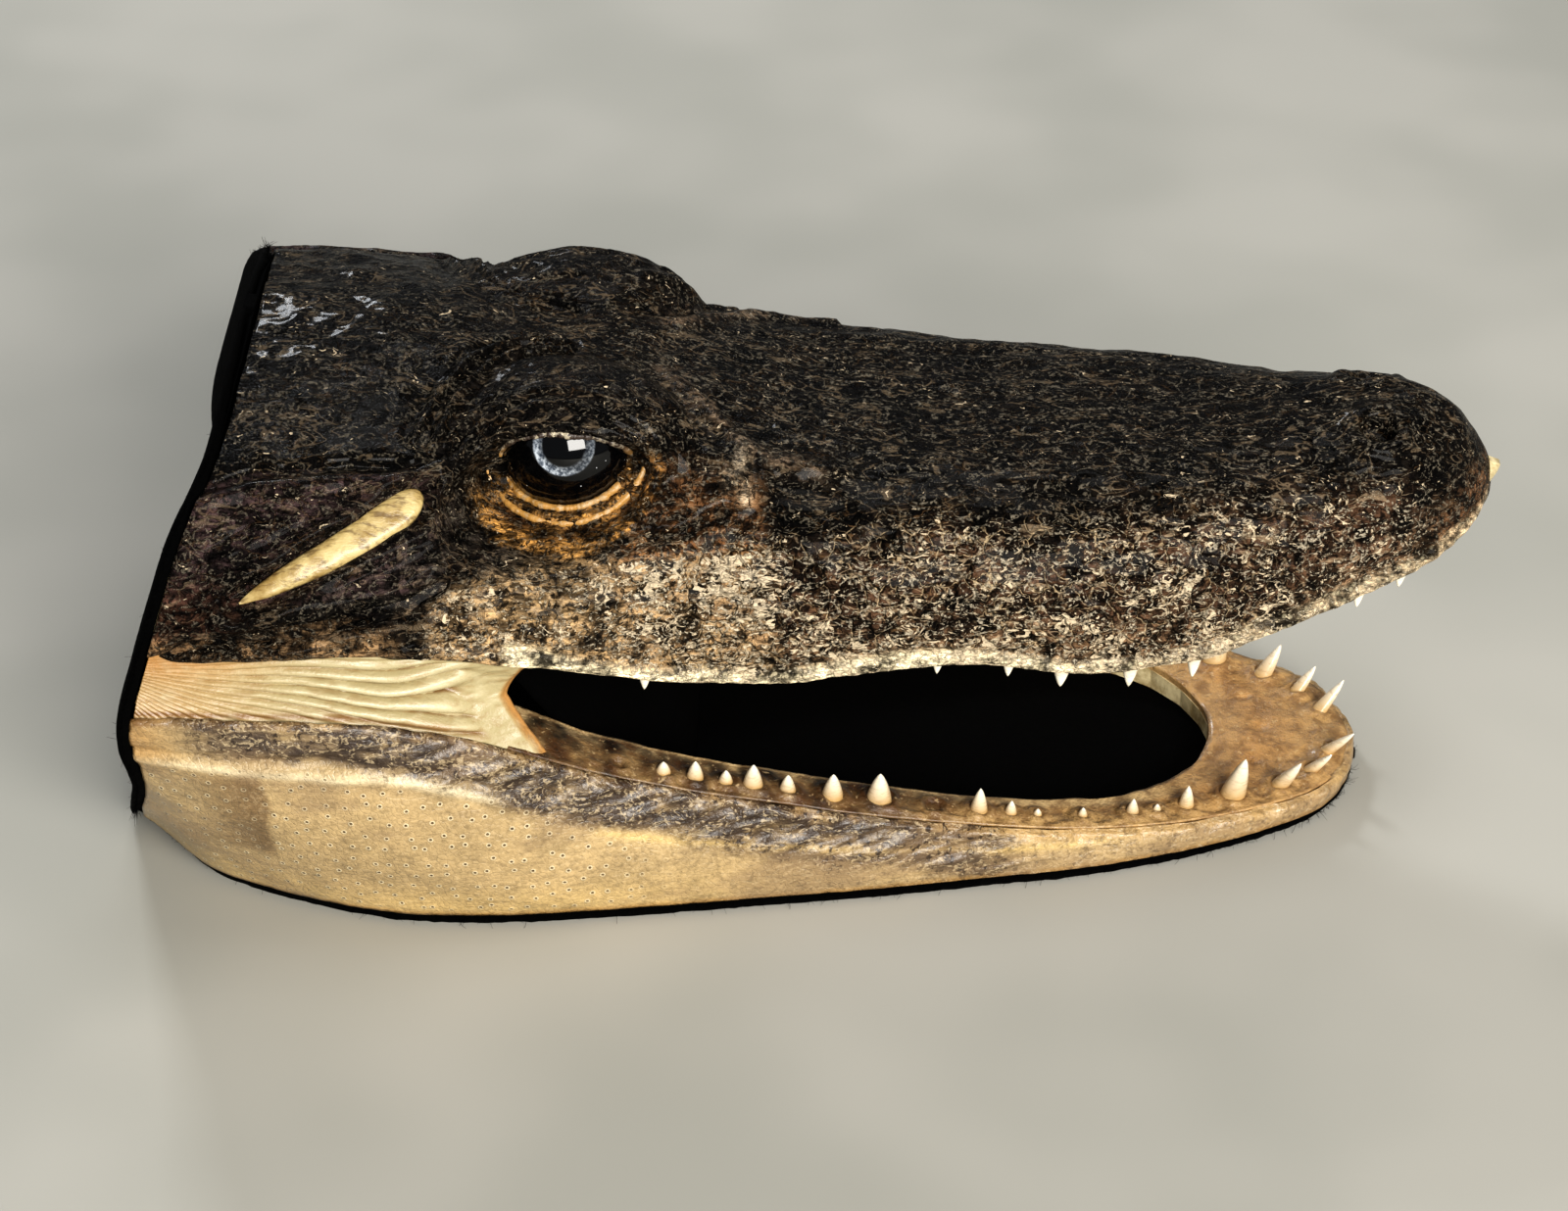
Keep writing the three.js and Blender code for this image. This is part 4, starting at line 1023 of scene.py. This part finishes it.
def gum_finish():
    """Dried gum: tan, mottled brown, with pale specks and dark pits round the teeth."""
    made = Finish("dried_gum")
    mottle = made.noise(1.8, 5.0, 0.7)
    grain = made.noise(0.45, 3.0, 0.65)
    specks = made.between(made.noise(0.75, 3.0, 0.6), 0.6, 0.68)
    body = made.coat(made.between(mottle, 0.34, 0.62), made.coat(0.6, made.tint(), (92, 58, 30)), made.tint())
    body = made.coat(specks * 0.5, body, (214, 186, 140))
    relief = mottle * 0.5 + grain * 0.4
    shine = made.between(grain, 0.3, 0.7, 0.28, 0.46)
    return made.done(body, shine, relief, 0.35, coat_weight=0.3, coat_roughness=0.2)


def make_gum(finish):
    """Gum over both mandibles, from the hide's rim over the row of teeth and down to the felt."""
    count = 609
    rim_behind, side = outline(12.42, 113, jaw_rim, count)
    in_behind, _ = outline(30.25, 113, floor_half, count)
    rim_y, in_y = side * (jaw_rim(rim_behind) - 0.75), side * floor_half(in_behind)
    rim_behind = rim_behind + 0.75 * bump(rim_behind - 12.4, 2)
    top = np.linspace(0, 1, 29)[:, None]
    behind = rim_behind + (in_behind - rim_behind) * top
    y = rim_y + (in_y - rim_y) * top
    rise = jaw_height(behind) - 0.12
    wall = np.linspace(0, 1, 13)[1:, None]
    wall_z = (jaw_height(in_behind) - 0.12) * (1 - wall) + (PAD_TOP + 0.05) * wall
    behind = np.concatenate([behind, in_behind + 0 * wall])
    y = np.concatenate([y, in_y + 0 * wall])
    z = np.concatenate([rise, wall_z])
    grid = located(behind, y, z)[::-1]
    behind, y = behind[::-1], y[::-1]
    # 1 at the inner edge, 0 at the hide's rim and on the inner wall
    over = np.concatenate([np.zeros((12, 1)), np.linspace(1, 0, 29)[:, None]])
    grid = grid if outward(grid)[20, count // 4, 2] > 0 else grid[:, ::-1]
    across = np.abs(y)
    lift = 0.22 * layered(behind / 4, y / 4, 0, 37, 3)
    colour = np.zeros(grid.shape) + [186.0, 150, 100]
    colour = shade(colour, (204, 178, 132), 0.8 * band(over, 0.8, 1, 0.15))
    colour = shade(colour, (212, 186, 140), 0.75 * (grid[..., 2] < jaw_height(behind) - 1.2))
    plate = 1 - smooth_step(30, 42, behind)
    lift += 0.5 * plate * bump(across, 3.6) - 0.7 * bump(np.hypot(behind - 25.4, across - 6.4), 0.6)
    lift -= 0.9 * bump(np.hypot(behind - 24, across), 0.7)
    colour = shade(colour, (190, 142, 86), 0.6 * plate)
    for tooth_behind, out, _, radius in LOWER_TEETH + LATE_TEETH:
        away = np.hypot(behind - tooth_behind, across - out)
        lift += 0.42 * bump(away - radius - 0.45, 0.5)
        rear = smooth_step(50, 70, tooth_behind)
        colour = shade(colour, (24, 15, 9), (0.35 + 0.6 * rear) * bump(away, radius + 0.45 + 0.25 * rear))
    for socket_behind, out, radius in EMPTY_SOCKETS:
        away = np.hypot(behind - socket_behind, across - out)
        lift += 0.25 * bump(away - radius - 0.3, 0.4) - 0.65 * bump(away, radius * 0.7)
        colour = shade(colour, (26, 16, 10), 0.95 * bump(away, radius))
    fine = layered(behind / 2, y / 2, 0, 38, 3)
    # the gum is made darker towards the rear of the mouth
    darker_rear = smooth_step(56, 72, behind) * (1 - smooth_step(0.86, 0.98, over)) * (0.6 + 0.6 * fine)
    colour = colour * (1 - 0.8 * darker_rear)[..., None]
    colour = shade(colour, rim_tone(behind, fine), (1 - smooth_step(0.1, 0.75, over)) * (0.9 - 0.3 * plate))
    lift += 0.35 * (1 - smooth_step(0.1, 0.4, over)) * layered(behind / 1.7, y / 1.7, 0, 39, 2)
    grid = grid + outward(grid) * (lift * smooth_step(0, 0.15, over))[..., None]
    piece = shell("gum_skin", grid, 0.45, finish, {}, np.clip(colour, 0, 255) / 255)
    return settle(piece, "gum", "lower_gum")


# ---------- skin at the corners of the mouth, and the palate ----------
def cheek_finish():
    """Thin cream skin, waxy, with painted shade darkening its folds."""
    made = Finish("cheek_membrane")
    streaks = made.noise(0.8, 4.0, 0.6, made.stretched(0.25, 1, 1))
    cloud = made.noise(3.0, 3.0, 0.6)
    body = made.coat(made.between(streaks, 0.52, 0.34) * 0.35, made.tint(), (146, 112, 66))
    body = made.coat(made.between(cloud, 0.5, 0.75) * 0.35, body, (212, 202, 166))
    relief = streaks * 0.6 + made.noise(0.4, 3.0, 0.6) * 0.3
    shine = made.between(cloud, 0.3, 0.7, 0.32, 0.46)
    return made.done(body, shine, relief, 0.25, coat_weight=0.25, coat_roughness=0.25)


def make_cheek(name, side, finish):
    """Skin gathered into pleats that fan out from the neck, ending in a smooth rolled edge in the mouth."""
    rows, columns = 321, 105
    u = np.linspace(0, 1, rows)[:, None]
    v = np.linspace(0, 1, columns)[None]
    deepest, rear = 0.45, 148.6  # where the free edge is hollowed most, and the cheek's rear end
    below, above = np.abs((deepest - v) / deepest), np.abs((v - deepest) / 0.55)
    front = 113.2 - np.where(v < deepest, 4.4 * below**1.3, 3.6 * above**1.3)
    behind = front + (rear - front) * u**0.9
    low, high = jaw_height(behind) - 0.5, head_lip(behind) + 0.5
    z = low + (high - low) * v
    behind = behind + smooth_step(116, rear, behind) * NECK_LEAN * (39.9 - z)
    hollow = np.sin(np.pi * v) * (0.6 + 1.6 * (1 - smooth_step(0, 0.3, u)))
    y = (jaw_rim(behind) - 0.9) * (1 - v) + (head_half(behind) - 0.9) * v - hollow
    pivot_behind, pivot_up = 156.0, 38.5
    fan = np.degrees(np.arctan2(pivot_up - z, pivot_behind - behind))
    wobble = 0.5 * noise(behind / 9, z / 6, 0, 43)
    fold = np.sin(2 * np.pi * (fan / 3.1 + wobble))
    flap = smooth_step(0.16, 0.09, u)
    depth = (0.25 + 0.75 * smooth_step(0.75, 0.2, u)) * (1 - flap)
    depth = depth * np.sin(np.pi * np.clip(v * 1.1, 0, 1)) ** 0.5
    y = y + 0.75 * depth * fold + 0.12 * layered(behind / 3, z / 0.9, 0, 44, 2)
    y = y - 1.1 * (1 - smooth_step(0, 0.02, u)) ** 2
    z = z + 0.25 * depth * np.cos(2 * np.pi * (fan / 3.1 + wobble))
    colour = np.zeros(y.shape + (3,)) + [176.0, 162, 122]
    # painted shade in the troughs of the pleats and a painted highlight on their crests
    colour = shade(colour, (104, 72, 36), 0.9 * (1 - smooth_step(-0.98, -0.35, fold)) * depth)
    colour = shade(colour, (212, 200, 162), 0.7 * smooth_step(0.3, 1, fold) * depth)
    tanned = 0.75 * smooth_step(0.5, 0.95, u) * (0.45 + 0.55 * smooth_step(0.4, 0.95, v))
    colour = shade(colour, (184, 126, 66), tanned)
    colour = shade(colour, (196, 136, 70), 0.8 * (1 - smooth_step(0.004, 0.02, u)))
    colour = shade(colour, (120, 82, 44), 0.8 * bump(v - 0.08, 0.035) * (1 - flap))
    grid = located(behind, side * y, z)
    grid = grid if outward(grid)[..., 1].mean() * side > 0 else grid[:, ::-1]
    colour = colour if grid[0, 0, 2] < grid[0, -1, 2] else colour[:, ::-1]
    piece = shell(name + "_cheek_pleats", grid, 0.55, finish, {}, np.clip(colour, 0, 255) / 255)
    return settle(piece, "cheek_skin", name + "_cheek_skin")


def palate_finish():
    """Dried palate: pale tan with brown blotches."""
    made = Finish("dried_palate")
    mottle = made.noise(2.5, 4.0, 0.65)
    body = made.coat(made.between(mottle, 0.35, 0.65), (126, 92, 60), (206, 182, 140))
    relief = mottle * 0.5 + made.noise(0.5, 3.0, 0.6) * 0.4
    return made.done(body, 0.42, relief, 0.35, coat_weight=0.2, coat_roughness=0.3)


def make_palate(finish):
    """The roof of the mouth, vaulted, with a raised ridge down its middle and gum along the lips."""
    behind = np.linspace(2.2, 136, 233)[:, None]
    v = np.linspace(-1, 1, 97)[None]
    half = np.maximum(head_half(behind) - 1.25, 0.3)
    y = v * half
    edge = half - np.abs(y)
    z = head_lip(behind) + 0.35 + 2.6 * smooth_step(0, 4.2, edge) + 0 * v
    z = z - 0.5 * bump(y, 1.3) * band(behind, 12, 120, 8) + 0.12 * layered(behind / 2, y / 2, 0, 47, 2)
    for tooth_behind, out, _, radius in UPPER_TEETH:
        away = np.hypot(behind - tooth_behind, np.abs(y) - out)
        z = z - 0.35 * bump(away - radius - 0.4, 0.5)
    grid = located(behind + 0 * v, y, z)
    grid = grid if outward(grid)[100, 48, 2] < 0 else grid[:, ::-1]
    return settle(shell("palate_skin", grid, 0.5, finish), "palate", "palate_lining")


# ---------- teeth ----------
def tooth_finish():
    """Ivory teeth: cream at the root, whiter and glossier at the tip."""
    made = Finish("tooth_enamel")
    rings = made.noise(0.5, 3.0, 0.6, made.stretched(0.5, 0.5, 1.6))
    body = made.coat(made.painted("tip"), (196, 160, 104), (250, 244, 224))
    body = made.coat(made.between(rings, 0.5, 0.35) * 0.3, body, (150, 116, 70))
    return made.done(body, 0.2, rings, 0.05, coat_weight=0.6, coat_roughness=0.1)


def tooth(root_place, crown, root, radius, lean, hang):
    """A cone from its root to its tip. lean is how far it moves along x and y for each millimetre up."""
    rows, sides = 19, 20
    share = np.linspace(0, 1, rows)
    up = -root + (crown + root) * share
    grown = np.clip(up / crown, 0, 1)
    rooted = 0.94 + 0.06 * (1 + up / root)
    crowned = np.clip(1 - grown, 0, 1) ** 0.72 * (1 + 0.25 * grown)
    girth = np.maximum(radius * np.where(up < 0, rooted, crowned), 0.03)
    bend = np.clip(up, 0, None)
    path = np.stack([lean[0] * bend, lean[1] * bend, (-1 if hang else 1) * up], -1)
    turn = np.arange(sides) * 2 * np.pi / sides
    ring = np.stack([1.08 * np.cos(turn), 0.94 * np.sin(turn), 0 * turn], -1)
    points = (path[:, None] + ring[None] * girth[:, None, None]).reshape(-1, 3) + root_place
    index = np.arange(rows * sides).reshape(rows, sides)
    step = -1 if hang else 1
    right = np.roll(index, -1, 1)
    quads = np.stack([index[:-1], right[:-1], right[1:], index[1:]], -1).reshape(-1, 4)
    faces = [face[::step] for face in [*quads.tolist(), index[0][::-1].tolist(), index[-1].tolist()]]
    return points, faces, np.repeat(grown, sides)


def make_teeth(finish):
    """Each tooth is its own piece, and the smallest late ones are one piece on each side."""
    for name, side in BOTH:
        for i, (behind, out, crown, radius) in enumerate(LOWER_TEETH, 1):
            front = 1 - smooth_step(15, 34, behind)
            lean = (0.05 + 0.75 * front, side * (0.06 + 0.3 * front))
            place = located(behind, side * out, jaw_height(behind))
            grown = 1.15 if i != 1 else 1.0
            root = min(crown * 0.4, jaw_height(behind) - 2.4)
            points, faces, tip = tooth(place, crown * grown, root, radius, lean, False)
            piece = solid_mesh(f"{name}_lower_enamel_{i}", points, faces, finish, {"tip": tip})
            settle(piece, "tooth", f"{name}_lower_tooth_{i}")
        for i, (behind, out, crown, radius) in enumerate(UPPER_TEETH, 1):
            place = located(behind, side * (out + 0.9), head_lip(behind) + 0.9)
            points, faces, tip = tooth(place, crown + 1.9, 1.0, radius, (-0.05, side * 0.14), True)
            tip = np.clip(tip * 1.6, 0, 1)
            piece = solid_mesh(f"{name}_upper_enamel_{i}", points, faces, finish, {"tip": tip})
            settle(piece, "tooth", f"{name}_upper_tooth_{i}")
        made = [
            tooth(located(b, side * out, jaw_height(b)), crown, 0.5, radius, (0.05, side * 0.05), False)
            for b, out, crown, radius in LATE_TEETH
        ]
        points, faces = gathered([(p, f) for p, f, _ in made])
        tips = np.concatenate([tip for _, _, tip in made])
        settle(solid_mesh(f"{name}_late_teeth", points, faces, finish, {"tip": tips}), "tooth")


# ---------- felt ----------
def felt_finish():
    """Black craft felt: matted fibre, no shine."""
    made = Finish("black_felt")
    fibres = made.noise(0.35, 4.0, 0.75, warp=1.2)
    mat = made.noise(2.5, 3.0, 0.6)
    body = made.coat(made.between(fibres, 0.45, 0.75) * 0.5, (2, 2, 2), (12, 12, 12))
    body = made.coat(made.between(mat, 0.5, 0.8) * 0.2, body, (8, 8, 8))
    return made.done(body, 0.95, fibres, 0.3, specular_ior_level=0.05)


def stray_fibres(name, edge, outs, count, seed, finish):
    """Short loose fibres standing out from a felt edge, as one piece."""
    draw = np.random.default_rng(seed)
    parts = []
    for _ in range(count):
        k = draw.integers(1, len(edge) - 1)
        start = edge[k] + (edge[k + 1] - edge[k]) * draw.random()
        way = unit(outs[k] + draw.normal(0, 0.55, 3) + [0, 0, 0.25])
        bend = draw.normal(0, 0.5, 3)
        length = 0.35 + 0.9 * draw.random() ** 3
        t = np.linspace(-0.3, 1, 6)[:, None]
        path = start + (way * t + bend * np.maximum(t, 0) ** 2 * 0.8) * length
        path[:, 2] = np.maximum(path[:, 2], 0.06)
        parts.append(tube(path, 0.028 * np.linspace(1, 0.5, 6), 4))
    points, faces = gathered(parts)
    return settle(solid_mesh(name, points, faces, finish), "felt")


def soft_edge(share):
    """How far a felt's face sinks close to its cut edge."""
    return 0.3 * smooth_step(0.955, 1, np.abs(share)) ** 2


def make_base_felt(finish):
    """The felt pad under the jaws, which is also the floor of the mouth."""
    behind = 12.0 + (161.5 - 12.0) * np.linspace(0.0, 1, 241) ** 1.6
    share = np.linspace(-1, 1, 49)[:, None]
    ragged = 0.09 * noise(behind * 1.4, 0, 0, 53) + 0.06 * noise(behind * 4, 3, 0, 55)
    half = jaw_foot(np.maximum(behind, 12.41)) * smooth_step(11.9, 13, behind) + 0.25 + ragged
    y = share * half
    z = 1.22 - soft_edge(share) + 0.04 * layered(behind / 2.5, y / 2.5, 0, 54, 2)
    grid = located(behind + 0 * share, y, z)
    grid = grid if outward(grid)[20, 120, 2] > 0 else grid[::-1]
    piece = shell("base_felt_pad", grid, 1.2, finish, stride=1)
    for vertex in piece.data.vertices[grid.shape[0] * grid.shape[1] :]:
        vertex.co.z = 0
    settle(piece, "felt", "base_felt")
    for n, side in enumerate((1, -1)):
        edge = located(behind, side * half, 0.7)
        outs = unit(np.stack([np.gradient(half), side * np.ones(241), np.zeros(241)], -1))
        stray_fibres(f"base_fuzz_{n}", edge, outs, 420, 61 + n, finish)
    even = np.linspace(12.4, 161.5, 600)
    area = np.trapz(2 * (jaw_foot(even) + 0.45), even) / 1e6
    flat = (2 * (jaw_foot(118.5) + 0.5) / 1000, 0.1495)


def neck_half(z):
    """The neck's half width at a height, with the cut's lean."""
    behind = neck_cut(z)
    lip, low = head_lip(behind), jaw_height(behind)
    rise = np.clip((z - lip) / (head_top(behind) - lip), 0, 1)
    over = head_half(behind) * (1 - rise ** head_square(behind)) ** (1 / head_square(behind))
    share = np.clip((z - PAD_TOP) / (low - PAD_TOP), 0, 1)
    under = jaw_side(behind, share)
    mix = smooth_step(low, lip, z)
    return np.where(z > lip, over, under * (1 - mix) + head_half(behind) * mix)


def make_neck_felt(finish):
    """The felt glued over the neck's cut."""
    up = np.sin(np.linspace(0, 1, 129) * np.pi / 2)
    z = (1.4 + (63.45 - 1.4) * up)[:, None]
    share = np.linspace(-1, 1, 73)
    ragged = 0.1 * noise(z * 1.4, 0, 0, 63) + 0.06 * noise(z * 4, 3, 0, 65)
    half = neck_half(z) + 0.5 + ragged
    y = share * half
    sunk = soft_edge(share) - 0.05 * layered(y / 2.5, z / 2.5, 0, 64, 2)
    behind = neck_cut(z) + 1.6 - sunk
    grid = located(behind, y, z + 0.42 * smooth_step(60, NECK_HEIGHT, z) + 0 * y)
    grid = grid if outward(grid)[60, 36, 0] < 0 else grid[:, ::-1]
    piece = shell("neck_felt_cover", grid, 1.3, finish, stride=1)
    settle(piece, "felt", "neck_felt")
    for n, side in enumerate((1, -1)):
        edge = located(behind[:, 0] - 0.5, side * half[:, 0], z[:, 0])
        slope = -np.gradient(half[:, 0]) / np.gradient(z[:, 0])
        outs = unit(np.stack([np.zeros(129), side * np.ones(129), np.clip(slope, -3, 3)], -1))
        stray_fibres(f"neck_fuzz_{n}", edge[:108], outs[:108], 300, 71 + n, finish)
    lean = math.hypot(1, NECK_LEAN)
    area = np.trapz(2 * half[:, 0], z[:, 0]) * lean / 1e6


def make_throat_felt(finish):
    """The felt that closes the back of the mouth, sloping up to the palate."""
    share = np.linspace(0, 1, 65)[:, None]
    behind, z = 93.5 + 24.5 * share, PAD_TOP + 0.1 + 37.2 * share
    across = np.linspace(-1, 1, 57)
    y = across * (floor_half(behind) - 0.5)
    bow = 0.5 * np.sin(np.pi * share) * (1 - across**2) + 0.1 * layered(y / 4, z / 4, 0, 74, 2)
    grid = located(behind + bow, y, z + 0 * y)
    grid = grid if outward(grid)[30, 28, 0] > 0 else grid[:, ::-1]
    piece = shell("throat_felt_panel", grid, 1.0, finish, stride=1)
    settle(piece, "felt", "throat_felt")


# ---------- what lies hidden inside ----------
def make_skull(finish):
    """The skull's outer wall under the hide, hollowed behind each eye."""
    behind, y, z = head_grid(121, 81)
    points = located(behind, y, z)
    points = points - outward(points) * (2.6 * smooth_step(0, 3, behind))[..., None] - [0.6, 0, 0]
    for side in (1, -1):
        centre, forward, up, out = eye_frame(side)
        rel = points - centre
        orbit = 10 * (1 - smooth_step(10.5, 17, np.hypot(rel @ forward, rel @ up))) * (np.sign(y) == side)
        points = points - orbit[..., None] * out
    points[..., 2] = np.maximum(points[..., 2], head_lip(behind) + 3.2)
    return settle(shell("skull_wall", points, 1.6, finish, stride=1), "bone", "skull")


def hidden_finish(name, dark, light, size, rough):
    """A plain mottled finish for what the skins cover."""
    made = Finish(name)
    mottle = made.noise(size, 4.0, 0.65)
    body = made.coat(made.between(mottle, 0.35, 0.65), dark, light)
    return made.done(body, rough, mottle, 0.2)


def make_clay(name, side, finish):
    """The clay bed behind each glass ball."""
    centre, forward, up, out = eye_frame(side)
    lean = np.radians(np.linspace(112, 172, 25))[:, None, None]
    turn = np.linspace(0, 6.26, 73)[None, :, None]
    way = np.cos(lean) * out + np.sin(lean) * (np.cos(turn) * forward + np.sin(turn) * up)
    bed = centre + way * (EYE_RADIUS + 1.0 + 0.15 * noise(lean * 9, turn * 3, 0, 83))
    bed = bed if np.sum(outward(bed) * way) > 0 else bed[:, ::-1]
    settle(shell(name + "_clay_bed", bed, 0.8, finish), "eye_clay", name + "_eye_clay")


def dress_hidden_nodes():
    """Finishes for the mandibles, clay and filler, and the skull, which the skins cover."""
    bone = hidden_finish("skull_bone", (168, 148, 104), (222, 206, 162), 2.4, 0.6)
    clay = hidden_finish("bedding_clay", (40, 34, 28), (70, 60, 50), 1.2, 0.85)
    filler = hidden_finish("neck_filler", (170, 162, 148), (200, 194, 182), 3.0, 0.9)
    make_skull(bone)
    wanted = {"neck_plug": filler}
    for name in SIDES:
        wanted[name + "_mandible"] = bone
        make_clay(name, SIDES[name], clay)
    for node, finish in wanted.items():
        for slot in bpy.data.objects[node].material_slots:
            slot.material = finish


# ---------- the studio ----------
def make_floor():
    made = Finish("pale_floor")
    cloud = made.noise(60, 2.0, 0.5)
    body = made.coat(made.between(cloud, 0.35, 0.65), (166, 165, 157), (178, 176, 168))
    finish = made.done(body, 0.75, specular_ior_level=0.2)
    mesh = bpy.data.meshes.new("studio_floor")
    reach = 3.0
    corners = [(-reach, -reach, 0), (reach, -reach, 0), (reach, reach, 0), (-reach, reach, 0)]
    mesh.from_pydata(corners, [], [(0, 1, 2, 3)])
    mesh.materials.append(finish)
    floor = bpy.data.objects.new("studio_floor", mesh)
    bpy.context.scene.collection.objects.link(floor)


def add_lamp(name, place, target, size, watts, colour, glint=1.0):
    lamp = bpy.data.lights.new(name, "AREA")
    lamp.shape, lamp.size, lamp.size_y = "RECTANGLE", size[0], size[1]
    lamp.energy, lamp.color, lamp.specular_factor = watts, colour, glint
    made = bpy.data.objects.new(name, lamp)
    made.location = place
    made.rotation_euler = (Vector(target) - Vector(place)).to_track_quat("-Z", "Y").to_euler()
    bpy.context.scene.collection.objects.link(made)


def add_camera():
    azimuth, elevation, distance = math.radians(1), math.radians(35), 0.42
    target = Vector((-0.0016, 0, 0.022))
    back = Vector((
        math.sin(azimuth) * math.cos(elevation), -math.cos(azimuth) * math.cos(elevation), math.sin(elevation)
    ))
    lens = bpy.data.cameras.new("view_camera")
    lens.lens, lens.sensor_width, lens.clip_start = 80, 36, 0.01
    camera = bpy.data.objects.new("view_camera", lens)
    camera.location = target + back * distance
    camera.rotation_euler = back.to_track_quat("Z", "Y").to_euler()
    bpy.context.scene.collection.objects.link(camera)
    bpy.context.scene.camera = camera


def light_studio():
    world = bpy.data.worlds.new("studio_air")
    bpy.context.scene.world = world
    world.use_nodes = True
    air = world.node_tree.nodes["Background"]
    air.inputs["Color"].default_value = (0.93, 0.96, 1.0, 1)
    air.inputs["Strength"].default_value = 0.2
    middle = (0, 0, 0.03)
    add_lamp("front_softbox", (0.35, -0.85, 0.5), middle, (0.6, 0.4), 15.0, (1.0, 0.97, 0.92), 0.35)
    add_lamp("rear_lamp", (-0.3, 0.7, 0.55), middle, (0.16, 0.12), 3.0, (0.93, 0.96, 1.0))
    add_lamp("top_softbox", (0.1, 0.05, 0.95), middle, (0.4, 0.4), 1.6, (1.0, 0.98, 0.95))


# ---------- putting it together ----------
add_camera()
light_studio()
make_floor()
dress_hidden_nodes()

hide = hide_finish()
make_head_skin(hide)
make_jaw_skin(pale_hide_finish())
make_gum(gum_finish())
make_palate(palate_finish())
glass, lids, bone, membrane = glass_finish(), lid_finish(), bone_finish(), cheek_finish()
for side_name, side in BOTH:
    make_eye(side_name, side, glass)
    make_lids(side_name, side, lids)
    make_strip(side_name, side, bone)
    make_cheek(side_name, side, membrane)
make_teeth(tooth_finish())
felt = felt_finish()
make_base_felt(felt)
make_neck_felt(felt)
make_throat_felt(felt)

bpy.context.scene.view_settings.view_transform = "Standard"
bpy.context.scene.view_settings.look = "Medium High Contrast"
